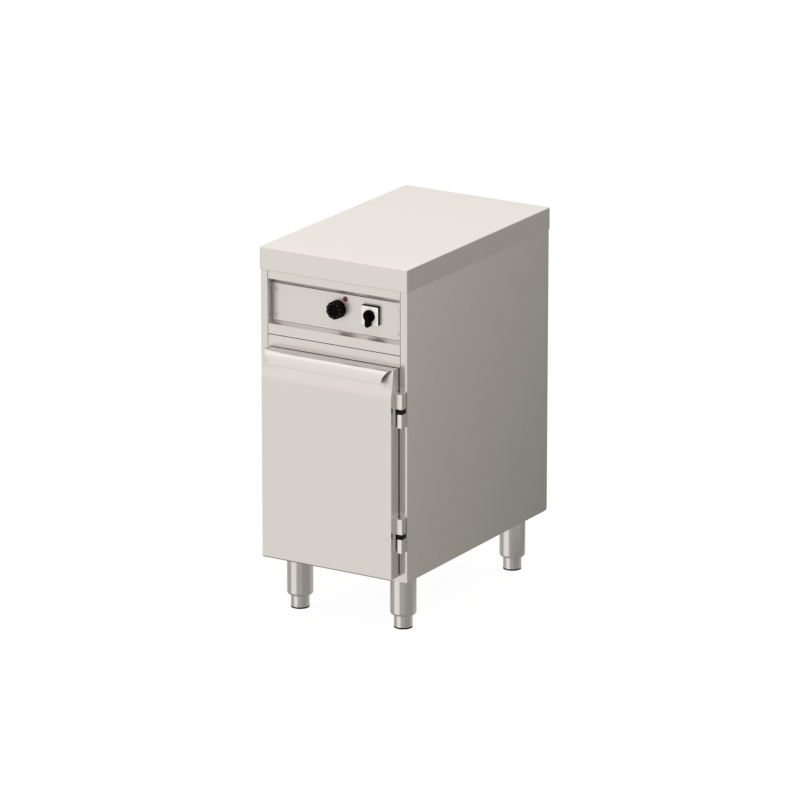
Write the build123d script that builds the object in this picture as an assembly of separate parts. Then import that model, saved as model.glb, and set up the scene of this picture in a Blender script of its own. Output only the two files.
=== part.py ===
from build123d import *
import os
from math import cos, radians, sin

# A free-standing plate warmer: an insulated stainless steel cabinet with a worktop, a recessed
# control panel, one side-hung door and four legs with screw-in feet.
# Millimetres. +X is to the right, +Y to the back and +Z up. The origin is on the floor, at the
# centre of the overall footprint, from the door's pull lip to the worktop's back edge.

# Overall sizes
WIDTH = 400.0
DEPTH = 650.0
HEIGHT = 890.0
LEG_HEIGHT = 138.0

# Sheet metal
TOP_SHEET = 1.5
BODY_SHEET = 1.2
LINER_SHEET = 1.0

# Worktop
SKIRT_HEIGHT = 54.0
OVERHANG = 2.0
TOP_EDGE_RADIUS = 2.5
STIFFENER_HEIGHT = 28.5
STIFFENER_WEB = 60.0
STIFFENER_FLANGE = 15.0
STIFFENER_COUNT = 3
STIFFENER_INSET = 5.0

# Side panels
POST_WIDTH = 18.0
POST_RETURN = 25.0
PANEL_FLANGE = 20.0
PANEL_CORNER_RADIUS = 8.0

# Front, from the skirt down
TOP_BAR = 20.2
RECESS_HEIGHT = 108.0
LOWER_BAR = 24.3
SEAM = 1.3
STRIP_HEIGHT = 26.6
DOOR_TOP_GAP = 0.5
FASCIA_SIDE_GAP = 1.2
FASCIA_FLANGE = 20.0
FASCIA_TOP_FLANGE = 30.0
RECESS_DEPTH = 17.0
LEDGE_RISE = 6.4
RECESS_TOP_DROP = 11.8

# Control plate
PLATE_SHEET = 1.5
PLATE_CLEARANCE = 0.3
PLATE_SIDE_CLEARANCE = 3.0
PLATE_TAB = 20.0
PLATE_SCREW_INSET = 11.5
PLATE_SCREW_RISE = 22.2
PLATE_SCREW_SPACING = 57.0
PLATE_SCREW_RADIUS = 2.0
PLATE_SCREW_LENGTH = 8.0
PLATE_SCREW_HEAD_RADIUS = 4.0
PLATE_SCREW_HEAD = 1.6

# Thermostat
KNOB_X = 2.0
KNOB_RISE = 57.2
KNOB_RADIUS = 21.5
KNOB_SKIRT = 3.0
KNOB_GRIP_RADIUS = 21.2
KNOB_DEPTH = 19.0
KNOB_SCALLOPS = 10
KNOB_SCALLOP_RADIUS = 5.0
KNOB_SCALLOP_DEPTH = 1.5
KNOB_GAP = 1.0
SPINDLE_RADIUS = 3.0
SPINDLE_LENGTH = 16.0
THERMOSTAT_WIDTH = 46.0
THERMOSTAT_HEIGHT = 38.0
THERMOSTAT_DEPTH = 34.0
CAPILLARY_RADIUS = 1.0
CAPILLARY_BEND = 8.0
CAPILLARY_X = 12.0
BULB_RADIUS = 3.2
BULB_LENGTH = 90.0
BULB_DROP = 12.0
BULB_CLIP_WIDTH = 12.0
BULB_CLIP_WALL = 2.0

# Pilot lamp
LAMP_X = 22.0
LAMP_RISE = 83.6
LAMP_RADIUS = 5.8
LAMP_HEIGHT = 4.0
LAMP_BODY_RADIUS = 4.6
LAMP_BODY_LENGTH = 28.0
LAMP_NUT_RADIUS = 7.0
LAMP_NUT = 4.0

# Cam switch
SWITCH_X = 92.3
SWITCH_RISE = 55.8
SWITCH_SIZE = 43.8
SWITCH_FRAME_RISE = 2.0
SWITCH_FRAME_DEPTH = 7.8
SWITCH_PLATE_DEPTH = 1.0
SWITCH_CORNER_RADIUS = 1.5
SWITCH_BLOCK_SIZE = 40.0
SWITCH_BLOCK_DEPTH = 45.0
HANDLE_HUB_RADIUS = 14.5
HANDLE_HUB = 5.5
HANDLE_LEVER_WIDTH = 12.0
HANDLE_LEVER_LENGTH = 25.4
HANDLE_LEVER = 13.5
HANDLE_GAP = 0.4
HANDLE_SPINDLE_RADIUS = 4.0
HANDLE_SPINDLE_LENGTH = 26.0

# Chamber
DOOR_LAP_SIDE = 12.0
DOOR_LAP_TOP = 21.0
DOOR_LAP_BOTTOM = 27.0
BACK_INSULATION = 30.0
POST_CAVITY = 16.0
RACK_UPRIGHT_WIDTH = 20.0
RACK_UPRIGHT = 2.0
RACK_END_GAP = 80.0
RUNNER_SHEET = 1.2
RUNNER_WIDTH = 12.0
RUNNER_FRONT_GAP = 40.0
RUNNER_BACK_GAP = 12.0
RUNNER_FIRST = 95.0
RUNNER_TOP_GAP = 71.0
RUNNER_COUNT = 5
LOWER_SHELF_STEP_COUNT = 1
UPPER_SHELF_STEP_COUNT = 3
SHELF_ROD_RADIUS = 3.0
SHELF_WIRE_RADIUS = 1.6
SHELF_WIRE_COUNT = 13
SHELF_SIDE_GAP = 5.0
SHELF_END_GAP = 6.0
SHELF_REST_GAP = 0.1

# Heater
ELEMENT_RADIUS = 4.25
ELEMENT_RISE = 14.0
ELEMENT_RUNS = 4
ELEMENT_SIDE_GAP = 56.0
ELEMENT_BEND = 28.0
ELEMENT_FRONT_GAP = 70.0
ELEMENT_TAIL = 22.0
SUPPORT_WIDTH = 12.0
SUPPORT_INSET = 60.0
COVER_HEIGHT = 30.0
COVER_SIDE_GAP = 16.0
COVER_FRONT_GAP = 12.0
COVER_BACK_GAP = 4.0
SLOT_BRIDGE = 9.0
SLOT_WIDTH = 5.0
SLOT_COLUMNS = 4
SLOT_ROWS = 14
SLOT_MARGIN = 30.0

# Door
DOOR_SIDE_INSET = 22.0
DOOR_BOTTOM_RISE = 13.0
DOOR_GAP = 3.0
DOOR_THICKNESS = 32.0
LEAN_HEIGHT = 63.4
LEAN_DEPTH = 11.0
LEAN_BEND_RADIUS = 40.0
LIP_AHEAD = 9.0
LIP_DROP = 31.0
LIP_TOP_RADIUS = 14.0
LIP_TURN = 26.0
LIP_FOOT_TILT = 5.0
LIP_SCOOP_RADIUS = 36.0
LIP_SCOOP_OUT = 13.0
GASKET_WIDTH = 8.5
GASKET_CLEARANCE = 0.3
GASKET_LAP = 1.5

# Hinges
HINGE_AXIS_OUT = 14.75
HINGE_AXIS_AHEAD = 12.5
HINGE_HEIGHT = 80.5
HINGE_TOP_DOWN = 56.4
HINGE_BOTTOM_UP = 64.5
LEAF_THICKNESS = 3.5
LEAF_WIDTH = 19.0
BRACKET_HEIGHT = 33.0
BRACKET_HALF_WIDTH = 6.25
BRACKET_AHEAD = 9.5
BRACKET_LUG_BEHIND = 9.4
RING_HEIGHT = 11.5
RING_INSET = 1.0
RING_BEHIND = 6.5
KNUCKLE_OUT = 6.0
KNUCKLE_AHEAD = 8.0
KNUCKLE_BEHIND = 12.2
KNUCKLE_EDGE_RADIUS = 1.5
KNUCKLE_BACK_RADIUS = 4.0
HINGE_PIN_RADIUS = 4.0
HINGE_PIN_END = 8.0
HINGE_SCREW_RADIUS = 2.0
HINGE_SCREW_DEPTH = 7.0
HINGE_SCREW_HEAD_RADIUS = 3.6
HINGE_SCREW_HEAD = 2.4
HINGE_SCREW_SPACING = 15.0

# Legs
LEG_SIDE_INSET = 56.0
LEG_FRONT_INSET = 75.0
LEG_BACK_INSET = 67.0
LEG_RADIUS = 31.2
LEG_WALL = 1.5
LEG_TOP_PLATE = 6.0
LEG_SHOULDER_TOP = 41.0
LEG_SHOULDER_BOTTOM = 32.5
LEG_SHOULDER_RADIUS = 7.0
LEG_NUT_BOTTOM = 75.0
LEG_NUT = 12.0
FOOT_RADIUS = 22.2
FOOT_TOP = 44.0
FOOT_STEM_RADIUS = 8.0
FOOT_STEM_TOP = 110.0
FOOT_SIDE_GAP = 0.5
PAD_HEIGHT = 4.0
PAD_RADIUS = 22.2
LEG_BOLT_RADIUS = 5.0
LEG_BOLT_HEAD_RADIUS = 9.0
LEG_BOLT_HEAD = 6.4
LEG_WASHER_RADIUS = 15.0
LEG_WASHER = 2.5
LEG_BOLT_POCKET_RADIUS = 18.0
LEG_BOLT_POCKET = 11.0

# Supply
GLAND_INSET = 98.0
GLAND_BORE_RADIUS = 5.0
GLAND_THREAD_RADIUS = 9.8
GLAND_HEX_RADIUS = 12.0
GLAND_CAP_RADIUS = 11.0
GLAND_BELOW = 22.0
GLAND_NUT = 5.0
GLAND_HEX = 6.0
CHANNEL_RADIUS = 12.8
TERMINAL_WIDTH = 60.0
TERMINAL_DEPTH = 32.0
TERMINAL_HEIGHT = 26.0
TERMINAL_WAYS = 5
TERMINAL_BACK_GAP = 110.0

# Fits between pieces
RUNNING_CLEARANCE = 0.06
FIXED_CLEARANCE = 0.05
HOLE_CLEARANCE = 0.3
EDGE_CLEARANCE = 0.3

# How far a cutter runs past the surface it cuts
CUT_PAST = 1.0

# Levels, worked out from the sizes above
body_bottom = LEG_HEIGHT
body_top = HEIGHT - TOP_SHEET - STIFFENER_HEIGHT
skirt_bottom = HEIGHT - SKIRT_HEIGHT
recess_top = skirt_bottom - TOP_BAR
ledge_front_z = recess_top - RECESS_HEIGHT
ledge_back_z = ledge_front_z + LEDGE_RISE
recess_back_z = recess_top - RECESS_TOP_DROP
fascia_bottom = ledge_front_z - LOWER_BAR
strip_top = fascia_bottom - SEAM
strip_bottom = strip_top - STRIP_HEIGHT
rail_top = strip_bottom - BODY_SHEET
door_top = rail_top - DOOR_TOP_GAP
door_bottom = body_bottom + DOOR_BOTTOM_RISE
chamber_top = door_top - DOOR_LAP_TOP
chamber_bottom = door_bottom + DOOR_LAP_BOTTOM
tray_floor = body_bottom + BODY_SHEET
tray_top = tray_floor + BODY_SHEET

# Widths, each measured from the middle
half_width = WIDTH / 2
body_half = half_width - OVERHANG
body_inner_half = body_half - BODY_SHEET
door_half = body_half - DOOR_SIDE_INSET
chamber_half = door_half - DOOR_LAP_SIDE
liner_half = chamber_half + LINER_SHEET
post_inner = body_half - POST_WIDTH
fascia_half = post_inner - FASCIA_SIDE_GAP
plate_half = fascia_half - BODY_SHEET - PLATE_SIDE_CLEARANCE

# Depths
front_reach = DOOR_GAP + DOOR_THICKNESS + LIP_AHEAD - OVERHANG
overall_depth = DEPTH + front_reach
worktop_front = front_reach - overall_depth / 2
worktop_back = overall_depth / 2
body_front = worktop_front + OVERHANG
body_back = worktop_back - OVERHANG
post_back = body_front + BODY_SHEET
panel_back = body_back - 2 * BODY_SHEET
chamber_back = panel_back - BACK_INSULATION - LINER_SHEET
liner_back_y = chamber_back + LINER_SHEET
plate_front = body_front + RECESS_DEPTH
plate_back = plate_front + PLATE_SHEET
door_back = body_front - DOOR_GAP
door_front = door_back - DOOR_THICKNESS
lip_front = door_front - LIP_AHEAD
lip_turn = radians(LIP_TURN)
lip_foot = radians(LIP_FOOT_TILT)
lip_radius = (LIP_DROP - LIP_TOP_RADIUS * (1 - sin(lip_turn))) / (sin(lip_turn) - sin(lip_foot))
lip_reach = LIP_TOP_RADIUS * cos(lip_turn) + lip_radius * (cos(lip_foot) - cos(lip_turn))

# Axes and centres
knob_z = ledge_front_z + KNOB_RISE
lamp_z = ledge_front_z + LAMP_RISE
switch_z = ledge_front_z + SWITCH_RISE
switch_front = plate_front - SWITCH_FRAME_DEPTH - SWITCH_PLATE_DEPTH
hinge_x = door_half + HINGE_AXIS_OUT
hinge_y = body_front - HINGE_AXIS_AHEAD
leaf_out = door_half + LEAF_THICKNESS
hinge_bottoms = [door_bottom + HINGE_BOTTOM_UP, door_top - HINGE_TOP_DOWN - HINGE_HEIGHT]
element_z = chamber_bottom + ELEMENT_RISE
element_spacing = 2 * (chamber_half - ELEMENT_SIDE_GAP) / (ELEMENT_RUNS - 1)
gland_x = GLAND_INSET - body_half
gland_y = panel_back - BODY_SHEET - (BACK_INSULATION - BODY_SHEET) / 2
capillary_y = plate_back + THERMOSTAT_DEPTH / 2
leg_x = body_half - LEG_SIDE_INSET
leg_front_y = body_front + LEG_FRONT_INSET
leg_back_y = body_back - LEG_BACK_INSET
leg_places = {
    "front_left": (-leg_x, leg_front_y),
    "front_right": (leg_x, leg_front_y),
    "back_left": (-leg_x, leg_back_y),
    "back_right": (leg_x, leg_back_y),
}
runner_first_z = chamber_bottom + RUNNER_FIRST
runner_last_z = chamber_top - RUNNER_TOP_GAP
runner_pitch = (runner_last_z - runner_first_z) / (RUNNER_COUNT - 1)
shelf_levels = {
    "shelf_lower": runner_first_z + LOWER_SHELF_STEP_COUNT * runner_pitch,
    "shelf_upper": runner_first_z + UPPER_SHELF_STEP_COUNT * runner_pitch,
}


def block(x0, x1, y0, y1, z0, z1):
    """A box between two opposite corners."""
    middle = Pos((x0 + x1) / 2, (y0 + y1) / 2, (z0 + z1) / 2)
    return middle * Box(x1 - x0, y1 - y0, z1 - z0)


def upright(x, y, z0, z1, radius):
    """A cylinder along Z."""
    return Pos(x, y, (z0 + z1) / 2) * Cylinder(radius, z1 - z0)


def spindle(x, z, y0, y1, radius):
    """A cylinder along Y."""
    return Pos(x, (y0 + y1) / 2, z) * Rot(90, 0, 0) * Cylinder(radius, y1 - y0)


def crossbar(y, z, x0, x1, radius):
    """A cylinder along X."""
    return Pos((x0 + x1) / 2, y, z) * Rot(0, 90, 0) * Cylinder(radius, x1 - x0)


def side_profile(points, x0, x1):
    """A solid whose outline in Y and Z is given, running from x0 to x1."""
    outline = Polyline(*points, close=True)
    face = make_face(Plane.YZ * outline)
    return Pos(x0, 0, 0) * extrude(face, x1 - x0, dir=(1, 0, 0))


def save(node, *solids):
    """Write one node's solids to its STEP file."""
    shape = solids[0] if len(solids) == 1 else Compound(children=list(solids))
    export_step(shape, f"parts/{node}.step")


# Worktop


def make_worktop():
    """A tray turned upside down: one sheet with a skirt on all four sides."""
    tray = block(-half_width, half_width, worktop_front, worktop_back, skirt_bottom, HEIGHT)
    tray = fillet(tray.edges().filter_by(Axis.Z), TOP_EDGE_RADIUS)
    tray = fillet(tray.faces().sort_by(Axis.Z)[-1].edges(), TOP_EDGE_RADIUS)
    inside = block(
        -half_width + TOP_SHEET, half_width - TOP_SHEET,
        worktop_front + TOP_SHEET, worktop_back - TOP_SHEET,
        skirt_bottom - TOP_SHEET, HEIGHT - TOP_SHEET,
    )
    return tray - inside


def make_stiffener(y):
    """A top-hat channel under the worktop, lying across the side panels."""
    half_web = STIFFENER_WEB / 2
    top = HEIGHT - TOP_SHEET
    half_length = body_inner_half - EDGE_CLEARANCE
    channel = block(-half_length, half_length, y - half_web, y + half_web, body_top, body_top + BODY_SHEET)
    for side in (-1, 1):
        wall = sorted((y + side * half_web, y + side * (half_web - BODY_SHEET)))
        channel += block(-half_length, half_length, *wall, body_top, top)
        flange = sorted((y + side * (half_web - BODY_SHEET), y + side * (half_web + STIFFENER_FLANGE)))
        channel += block(-half_length, half_length, *flange, top - BODY_SHEET, top)
    return channel


def make_worktop_stiffeners():
    reach = STIFFENER_INSET + STIFFENER_FLANGE + STIFFENER_WEB / 2
    first = body_front + reach
    last = body_back - reach
    step = (last - first) / (STIFFENER_COUNT - 1)
    return [make_stiffener(first + step * n) for n in range(STIFFENER_COUNT)]


# Body


def make_side_panel(side):
    """A side wall with its front post and its flanges; side is -1 for left and 1 for right."""
    wall = block(body_inner_half, body_half, body_front, body_back, body_bottom, body_top)
    corner = wall.edges().filter_by(Axis.X).group_by(Axis.Z)[0].sort_by(Axis.Y)[-1]
    panel = fillet(corner, PANEL_CORNER_RADIUS)
    flange_inner = body_half - PANEL_FLANGE
    corner_room = PANEL_CORNER_RADIUS + BODY_SHEET
    panel += block(chamber_half, body_half, body_front, post_back, body_bottom, rail_top)
    panel += block(post_inner, body_half, body_front, post_back, rail_top, body_top)
    panel += block(
        post_inner, post_inner + BODY_SHEET, body_front, body_front + POST_RETURN, rail_top, body_top
    )
    panel += block(flange_inner, body_half, body_front, body_back, body_top - BODY_SHEET, body_top)
    panel += block(
        flange_inner, body_half, body_front, body_back - corner_room, body_bottom, tray_floor
    )
    panel += block(
        flange_inner, body_half, body_back - BODY_SHEET, body_back, body_bottom + corner_room, body_top
    )
    if side > 0:
        for bottom in hinge_bottoms:
            for z in hinge_screw_heights(bottom):
                radius = HINGE_SCREW_RADIUS + HOLE_CLEARANCE
                panel -= spindle(hinge_x, z, body_front - CUT_PAST, post_back + CUT_PAST, radius)
    return panel if side > 0 else mirror(panel, Plane.YZ)


def make_back_panel():
    """A flat sheet behind the insulation, lapped by the side panels' back flanges."""
    bottom = body_bottom + PANEL_CORNER_RADIUS
    return block(
        -body_inner_half, body_inner_half, panel_back, panel_back + BODY_SHEET,
        bottom, body_top - BODY_SHEET,
    )


def make_bottom_tray():
    """The floor sheet, with the sill below the door in front and an upstand at the back."""
    sill_half = chamber_half - EDGE_CLEARANCE
    tray_end = panel_back
    tray = block(-body_inner_half, body_inner_half, post_back, tray_end, tray_floor, tray_top)
    tray += block(
        -body_inner_half, body_inner_half, tray_end - BODY_SHEET, tray_end,
        tray_floor, tray_floor + PANEL_FLANGE,
    )
    bend = tray.edges().filter_by(Axis.X).group_by(Axis.Z)[0].sort_by(Axis.Y)[-1]
    tray = fillet(bend, 2.5 * BODY_SHEET)
    tray += block(-sill_half, sill_half, body_front, post_back, body_bottom, chamber_bottom)
    tray += block(-sill_half, sill_half, body_front, post_back + CUT_PAST, tray_floor, tray_top)
    for x, y in leg_places.values():
        tray -= upright(x, y, body_bottom, tray_top + CUT_PAST, LEG_BOLT_RADIUS + HOLE_CLEARANCE)
    gland_hole = GLAND_THREAD_RADIUS + HOLE_CLEARANCE
    return tray - upright(gland_x, gland_y, body_bottom, tray_top + CUT_PAST, gland_hole)


def make_frame_top_rail():
    """The rail between the posts above the chamber's mouth."""
    half = chamber_half - EDGE_CLEARANCE
    rail = block(-half, half, body_front, post_back, chamber_top, rail_top)
    rail += block(-half, half, body_front, body_front + PANEL_FLANGE, rail_top - BODY_SHEET, rail_top)
    return rail


def make_compartment_floor():
    """The sheet between the chamber's top insulation and the control compartment."""
    top = strip_bottom
    front_half = fascia_half
    behind_posts = body_front + POST_RETURN + EDGE_CLEARANCE
    floor = block(-front_half, front_half, body_front + 6 * BODY_SHEET, behind_posts, rail_top, top)
    back = panel_back
    half = body_inner_half - EDGE_CLEARANCE
    floor += block(-half, half, behind_posts, back, rail_top, top)
    floor -= upright(CAPILLARY_X, capillary_y, rail_top - CUT_PAST, top + CUT_PAST, 2 * CAPILLARY_RADIUS)
    floor -= upright(gland_x, gland_y, rail_top - CUT_PAST, top + CUT_PAST, GLAND_THREAD_RADIUS)
    return floor


# Control front


def make_fascia_frame():
    """The control front: two bars, the slanting walls of the recess and the tabs behind the plate."""
    back = plate_back + BODY_SHEET
    half = fascia_half
    inner = half - BODY_SHEET
    top = body_top - BODY_SHEET - EDGE_CLEARANCE
    frame = block(-half, half, body_front, post_back, recess_top, top)
    frame += block(-half, half, body_front, post_back, fascia_bottom, ledge_front_z)
    frame += block(
        -half, half, body_front, body_front + FASCIA_FLANGE, fascia_bottom, fascia_bottom + BODY_SHEET
    )
    top_half = body_half - PANEL_FLANGE - EDGE_CLEARANCE
    frame += block(-top_half, top_half, body_front, post_back, top, body_top)
    frame += block(
        -top_half, top_half, body_front, body_front + FASCIA_TOP_FLANGE, body_top - BODY_SHEET, body_top
    )
    reach = (back - body_front) / RECESS_DEPTH
    ledge_end_z = ledge_front_z + reach * LEDGE_RISE
    ledge = [
        (body_front, ledge_front_z), (back, ledge_end_z),
        (back, ledge_end_z - BODY_SHEET), (body_front, ledge_front_z - BODY_SHEET),
    ]
    ceiling_end_z = recess_top - reach * RECESS_TOP_DROP
    ceiling = [
        (body_front, recess_top), (back, ceiling_end_z),
        (back, ceiling_end_z + BODY_SHEET), (body_front, recess_top + BODY_SHEET),
    ]
    frame += side_profile(ledge, -half, half) + side_profile(ceiling, -half, half)
    for side in (-1, 1):
        wall = sorted((side * inner, side * half))
        frame += block(*wall, body_front, back, fascia_bottom, top)
        tab = sorted((side * (inner - PLATE_TAB), side * inner))
        frame += block(*tab, plate_back, back, ledge_back_z, recess_back_z)
    screw_hole = PLATE_SCREW_RADIUS + FIXED_CLEARANCE
    for x, z in plate_screw_places():
        frame -= spindle(x, z, plate_back - CUT_PAST, back + CUT_PAST, screw_hole)
    return frame


def make_fascia_strip():
    """The narrow folded strip between the control front and the rail."""
    half = fascia_half
    strip = block(-half, half, body_front, post_back, strip_bottom, strip_top)
    strip += block(
        -half, half, body_front, body_front + FASCIA_FLANGE, strip_bottom, strip_bottom + BODY_SHEET
    )
    strip += block(
        -half, half, body_front, body_front + FASCIA_FLANGE, strip_top - BODY_SHEET, strip_top
    )
    return strip


def plate_screw_places():
    """Centres of the four control plate screws, in X and Z."""
    low = ledge_front_z + PLATE_SCREW_RISE
    x = fascia_half - BODY_SHEET - PLATE_SCREW_INSET
    return [(side * x, z) for side in (-1, 1) for z in (low, low + PLATE_SCREW_SPACING)]


def make_control_plate():
    """The plate at the back of the recess, pierced for the controls and its screws."""
    share = PLATE_SHEET / RECESS_DEPTH
    bottom = ledge_back_z + share * LEDGE_RISE + PLATE_CLEARANCE
    top = recess_back_z - share * RECESS_TOP_DROP - PLATE_CLEARANCE
    plate = block(-plate_half, plate_half, plate_front, plate_back, bottom, top)
    holes = [
        (KNOB_X, knob_z, SPINDLE_RADIUS + 3 * HOLE_CLEARANCE),
        (LAMP_X, lamp_z, LAMP_BODY_RADIUS + HOLE_CLEARANCE),
        (SWITCH_X, switch_z, HANDLE_SPINDLE_RADIUS + 3 * HOLE_CLEARANCE),
    ]
    holes += [(x, z, PLATE_SCREW_RADIUS + HOLE_CLEARANCE) for x, z in plate_screw_places()]
    for x, z, radius in holes:
        plate -= spindle(x, z, plate_front - CUT_PAST, plate_back + CUT_PAST, radius)
    return plate


def make_plate_screw(x, z):
    """A pan-head screw with a cross recess."""
    head_front = plate_front - PLATE_SCREW_HEAD
    head = spindle(x, z, head_front, plate_front, PLATE_SCREW_HEAD_RADIUS)
    head = fillet(head.edges().sort_by(Axis.Y)[0], PLATE_SCREW_HEAD / 2)
    slot = PLATE_SCREW_RADIUS
    slot_half = PLATE_SCREW_RADIUS / 5
    deep = head_front + PLATE_SCREW_HEAD / 2
    head -= block(x - slot, x + slot, head_front - CUT_PAST, deep, z - slot_half, z + slot_half)
    head -= block(x - slot_half, x + slot_half, head_front - CUT_PAST, deep, z - slot, z + slot)
    return head + spindle(x, z, plate_front, plate_front + PLATE_SCREW_LENGTH, PLATE_SCREW_RADIUS)


# Thermostat


def make_thermostat_knob():
    """A scalloped knob on a marked skirt, in one piece with the spindle that it turns."""
    back = plate_front - KNOB_GAP
    front = back - KNOB_DEPTH
    skirt_front = back - KNOB_SKIRT
    knob = spindle(KNOB_X, knob_z, skirt_front, back, KNOB_RADIUS)
    knob = chamfer(knob.edges().sort_by(Axis.Y)[0], KNOB_SKIRT / 3)
    grip = spindle(KNOB_X, knob_z, front, skirt_front, KNOB_GRIP_RADIUS)
    reach = KNOB_GRIP_RADIUS + KNOB_SCALLOP_RADIUS - KNOB_SCALLOP_DEPTH
    for n in range(KNOB_SCALLOPS):
        angle = radians(360 * (n + 0.5) / KNOB_SCALLOPS)
        x = KNOB_X + reach * sin(angle)
        z = knob_z + reach * cos(angle)
        grip -= spindle(x, z, front - CUT_PAST, skirt_front, KNOB_SCALLOP_RADIUS)
    grip = chamfer(grip.faces().sort_by(Axis.Y)[0].edges(), KNOB_SKIRT / 4)
    mark_half = SPINDLE_RADIUS / 5
    grip -= block(
        KNOB_X - mark_half, KNOB_X + mark_half, front - CUT_PAST, front + mark_half,
        knob_z + KNOB_GRIP_RADIUS / 2, knob_z + KNOB_GRIP_RADIUS + CUT_PAST,
    )
    return knob + grip + spindle(KNOB_X, knob_z, back, plate_back + SPINDLE_LENGTH, SPINDLE_RADIUS)


def make_thermostat_body():
    """The thermostat behind the plate, bored for the knob's spindle."""
    half_x = THERMOSTAT_WIDTH / 2
    half_z = THERMOSTAT_HEIGHT / 2
    back = plate_back + THERMOSTAT_DEPTH
    body = block(KNOB_X - half_x, KNOB_X + half_x, plate_back, back, knob_z - half_z, knob_z + half_z)
    body = fillet(body.edges().filter_by(Axis.Y), KNOB_SKIRT)
    bore = SPINDLE_RADIUS + RUNNING_CLEARANCE
    bore_end = plate_back + SPINDLE_LENGTH + CUT_PAST
    return body - spindle(KNOB_X, knob_z, plate_back - CUT_PAST, bore_end, bore)


def make_thermostat_sensor():
    """The capillary, running down into the chamber, with its bulb."""
    z_bulb = chamber_top - BULB_DROP
    top = knob_z - THERMOSTAT_HEIGHT / 2
    bulb_start = capillary_y + 3 * CAPILLARY_BEND
    route = FilletPolyline(
        (CAPILLARY_X, capillary_y, top), (CAPILLARY_X, capillary_y, z_bulb),
        (CAPILLARY_X, bulb_start, z_bulb), radius=CAPILLARY_BEND,
    )
    section = Plane(origin=route @ 0, z_dir=route % 0) * Circle(CAPILLARY_RADIUS)
    bulb = spindle(CAPILLARY_X, z_bulb, bulb_start, bulb_start + BULB_LENGTH, BULB_RADIUS)
    return sweep(section, path=route) + bulb


def make_bulb_clip():
    """The clip that holds the bulb under the chamber's ceiling."""
    z_bulb = chamber_top - BULB_DROP
    middle = capillary_y + 3 * CAPILLARY_BEND + BULB_LENGTH / 2
    half = BULB_RADIUS + BULB_CLIP_WALL
    y0 = middle - BULB_CLIP_WIDTH / 2
    y1 = middle + BULB_CLIP_WIDTH / 2
    clip = block(CAPILLARY_X - half, CAPILLARY_X + half, y0, y1, z_bulb - half, chamber_top)
    bore = BULB_RADIUS + FIXED_CLEARANCE
    return clip - spindle(CAPILLARY_X, z_bulb, y0 - CUT_PAST, y1 + CUT_PAST, bore)


# Lamp and switch


def make_pilot_lamp_lens():
    lens = spindle(LAMP_X, lamp_z, plate_front - LAMP_HEIGHT, plate_front, LAMP_RADIUS)
    return fillet(lens.edges().sort_by(Axis.Y)[0], LAMP_HEIGHT * 0.6)


def make_pilot_lamp_body():
    body = spindle(LAMP_X, lamp_z, plate_front, plate_front + LAMP_BODY_LENGTH, LAMP_BODY_RADIUS)
    return body + spindle(LAMP_X, lamp_z, plate_back, plate_back + LAMP_NUT, LAMP_NUT_RADIUS)


def make_switch_piece(y0, y1, hole_radius, rise):
    """A square piece of the switch's front, some way taller, with rounded corners and a hole."""
    half = SWITCH_SIZE / 2
    top = switch_z + half + rise
    piece = block(SWITCH_X - half, SWITCH_X + half, y0, y1, switch_z - half, top)
    piece = fillet(piece.edges().filter_by(Axis.Y), SWITCH_CORNER_RADIUS)
    return piece - spindle(SWITCH_X, switch_z, y0 - CUT_PAST, y1 + CUT_PAST, hole_radius)


def make_switch_block():
    """The cam switch's contact block behind the plate."""
    half = SWITCH_BLOCK_SIZE / 2
    back = plate_back + SWITCH_BLOCK_DEPTH
    body = block(SWITCH_X - half, SWITCH_X + half, plate_back, back, switch_z - half, switch_z + half)
    end = switch_front + HANDLE_SPINDLE_LENGTH + CUT_PAST
    return body - spindle(
        SWITCH_X, switch_z, plate_back - CUT_PAST, end, HANDLE_SPINDLE_RADIUS + RUNNING_CLEARANCE
    )


def make_switch_handle():
    """A round hub with a lever, in one piece with the spindle that turns the cams."""
    back = switch_front - HANDLE_GAP
    hub = spindle(SWITCH_X, switch_z, back - HANDLE_HUB, back, HANDLE_HUB_RADIUS)
    half = HANDLE_LEVER_WIDTH / 2
    tip_z = switch_z - HANDLE_LEVER_LENGTH + half
    lever = block(SWITCH_X - half, SWITCH_X + half, back - HANDLE_LEVER, back, tip_z, switch_z + half)
    lever += spindle(SWITCH_X, tip_z, back - HANDLE_LEVER, back, half)
    lever = fillet(lever.faces().sort_by(Axis.Y)[0].edges(), half / 4)
    shaft = spindle(SWITCH_X, switch_z, back, switch_front + HANDLE_SPINDLE_LENGTH, HANDLE_SPINDLE_RADIUS)
    return hub + lever + shaft


# Supply


def make_terminal_block():
    """A row of screw terminals on the compartment's floor."""
    back = panel_back - TERMINAL_BACK_GAP
    z0 = strip_bottom
    x0 = gland_x - TERMINAL_WIDTH / 2
    body = block(x0, x0 + TERMINAL_WIDTH, back - TERMINAL_DEPTH, back, z0, z0 + TERMINAL_HEIGHT)
    pitch = TERMINAL_WIDTH / TERMINAL_WAYS
    for n in range(TERMINAL_WAYS):
        x = x0 + pitch * (n + 0.5)
        for y in (back - TERMINAL_DEPTH / 4, back - TERMINAL_DEPTH * 3 / 4):
            body -= upright(x, y, z0 + TERMINAL_HEIGHT / 2, z0 + TERMINAL_HEIGHT + CUT_PAST, pitch / 4)
    return body


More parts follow.
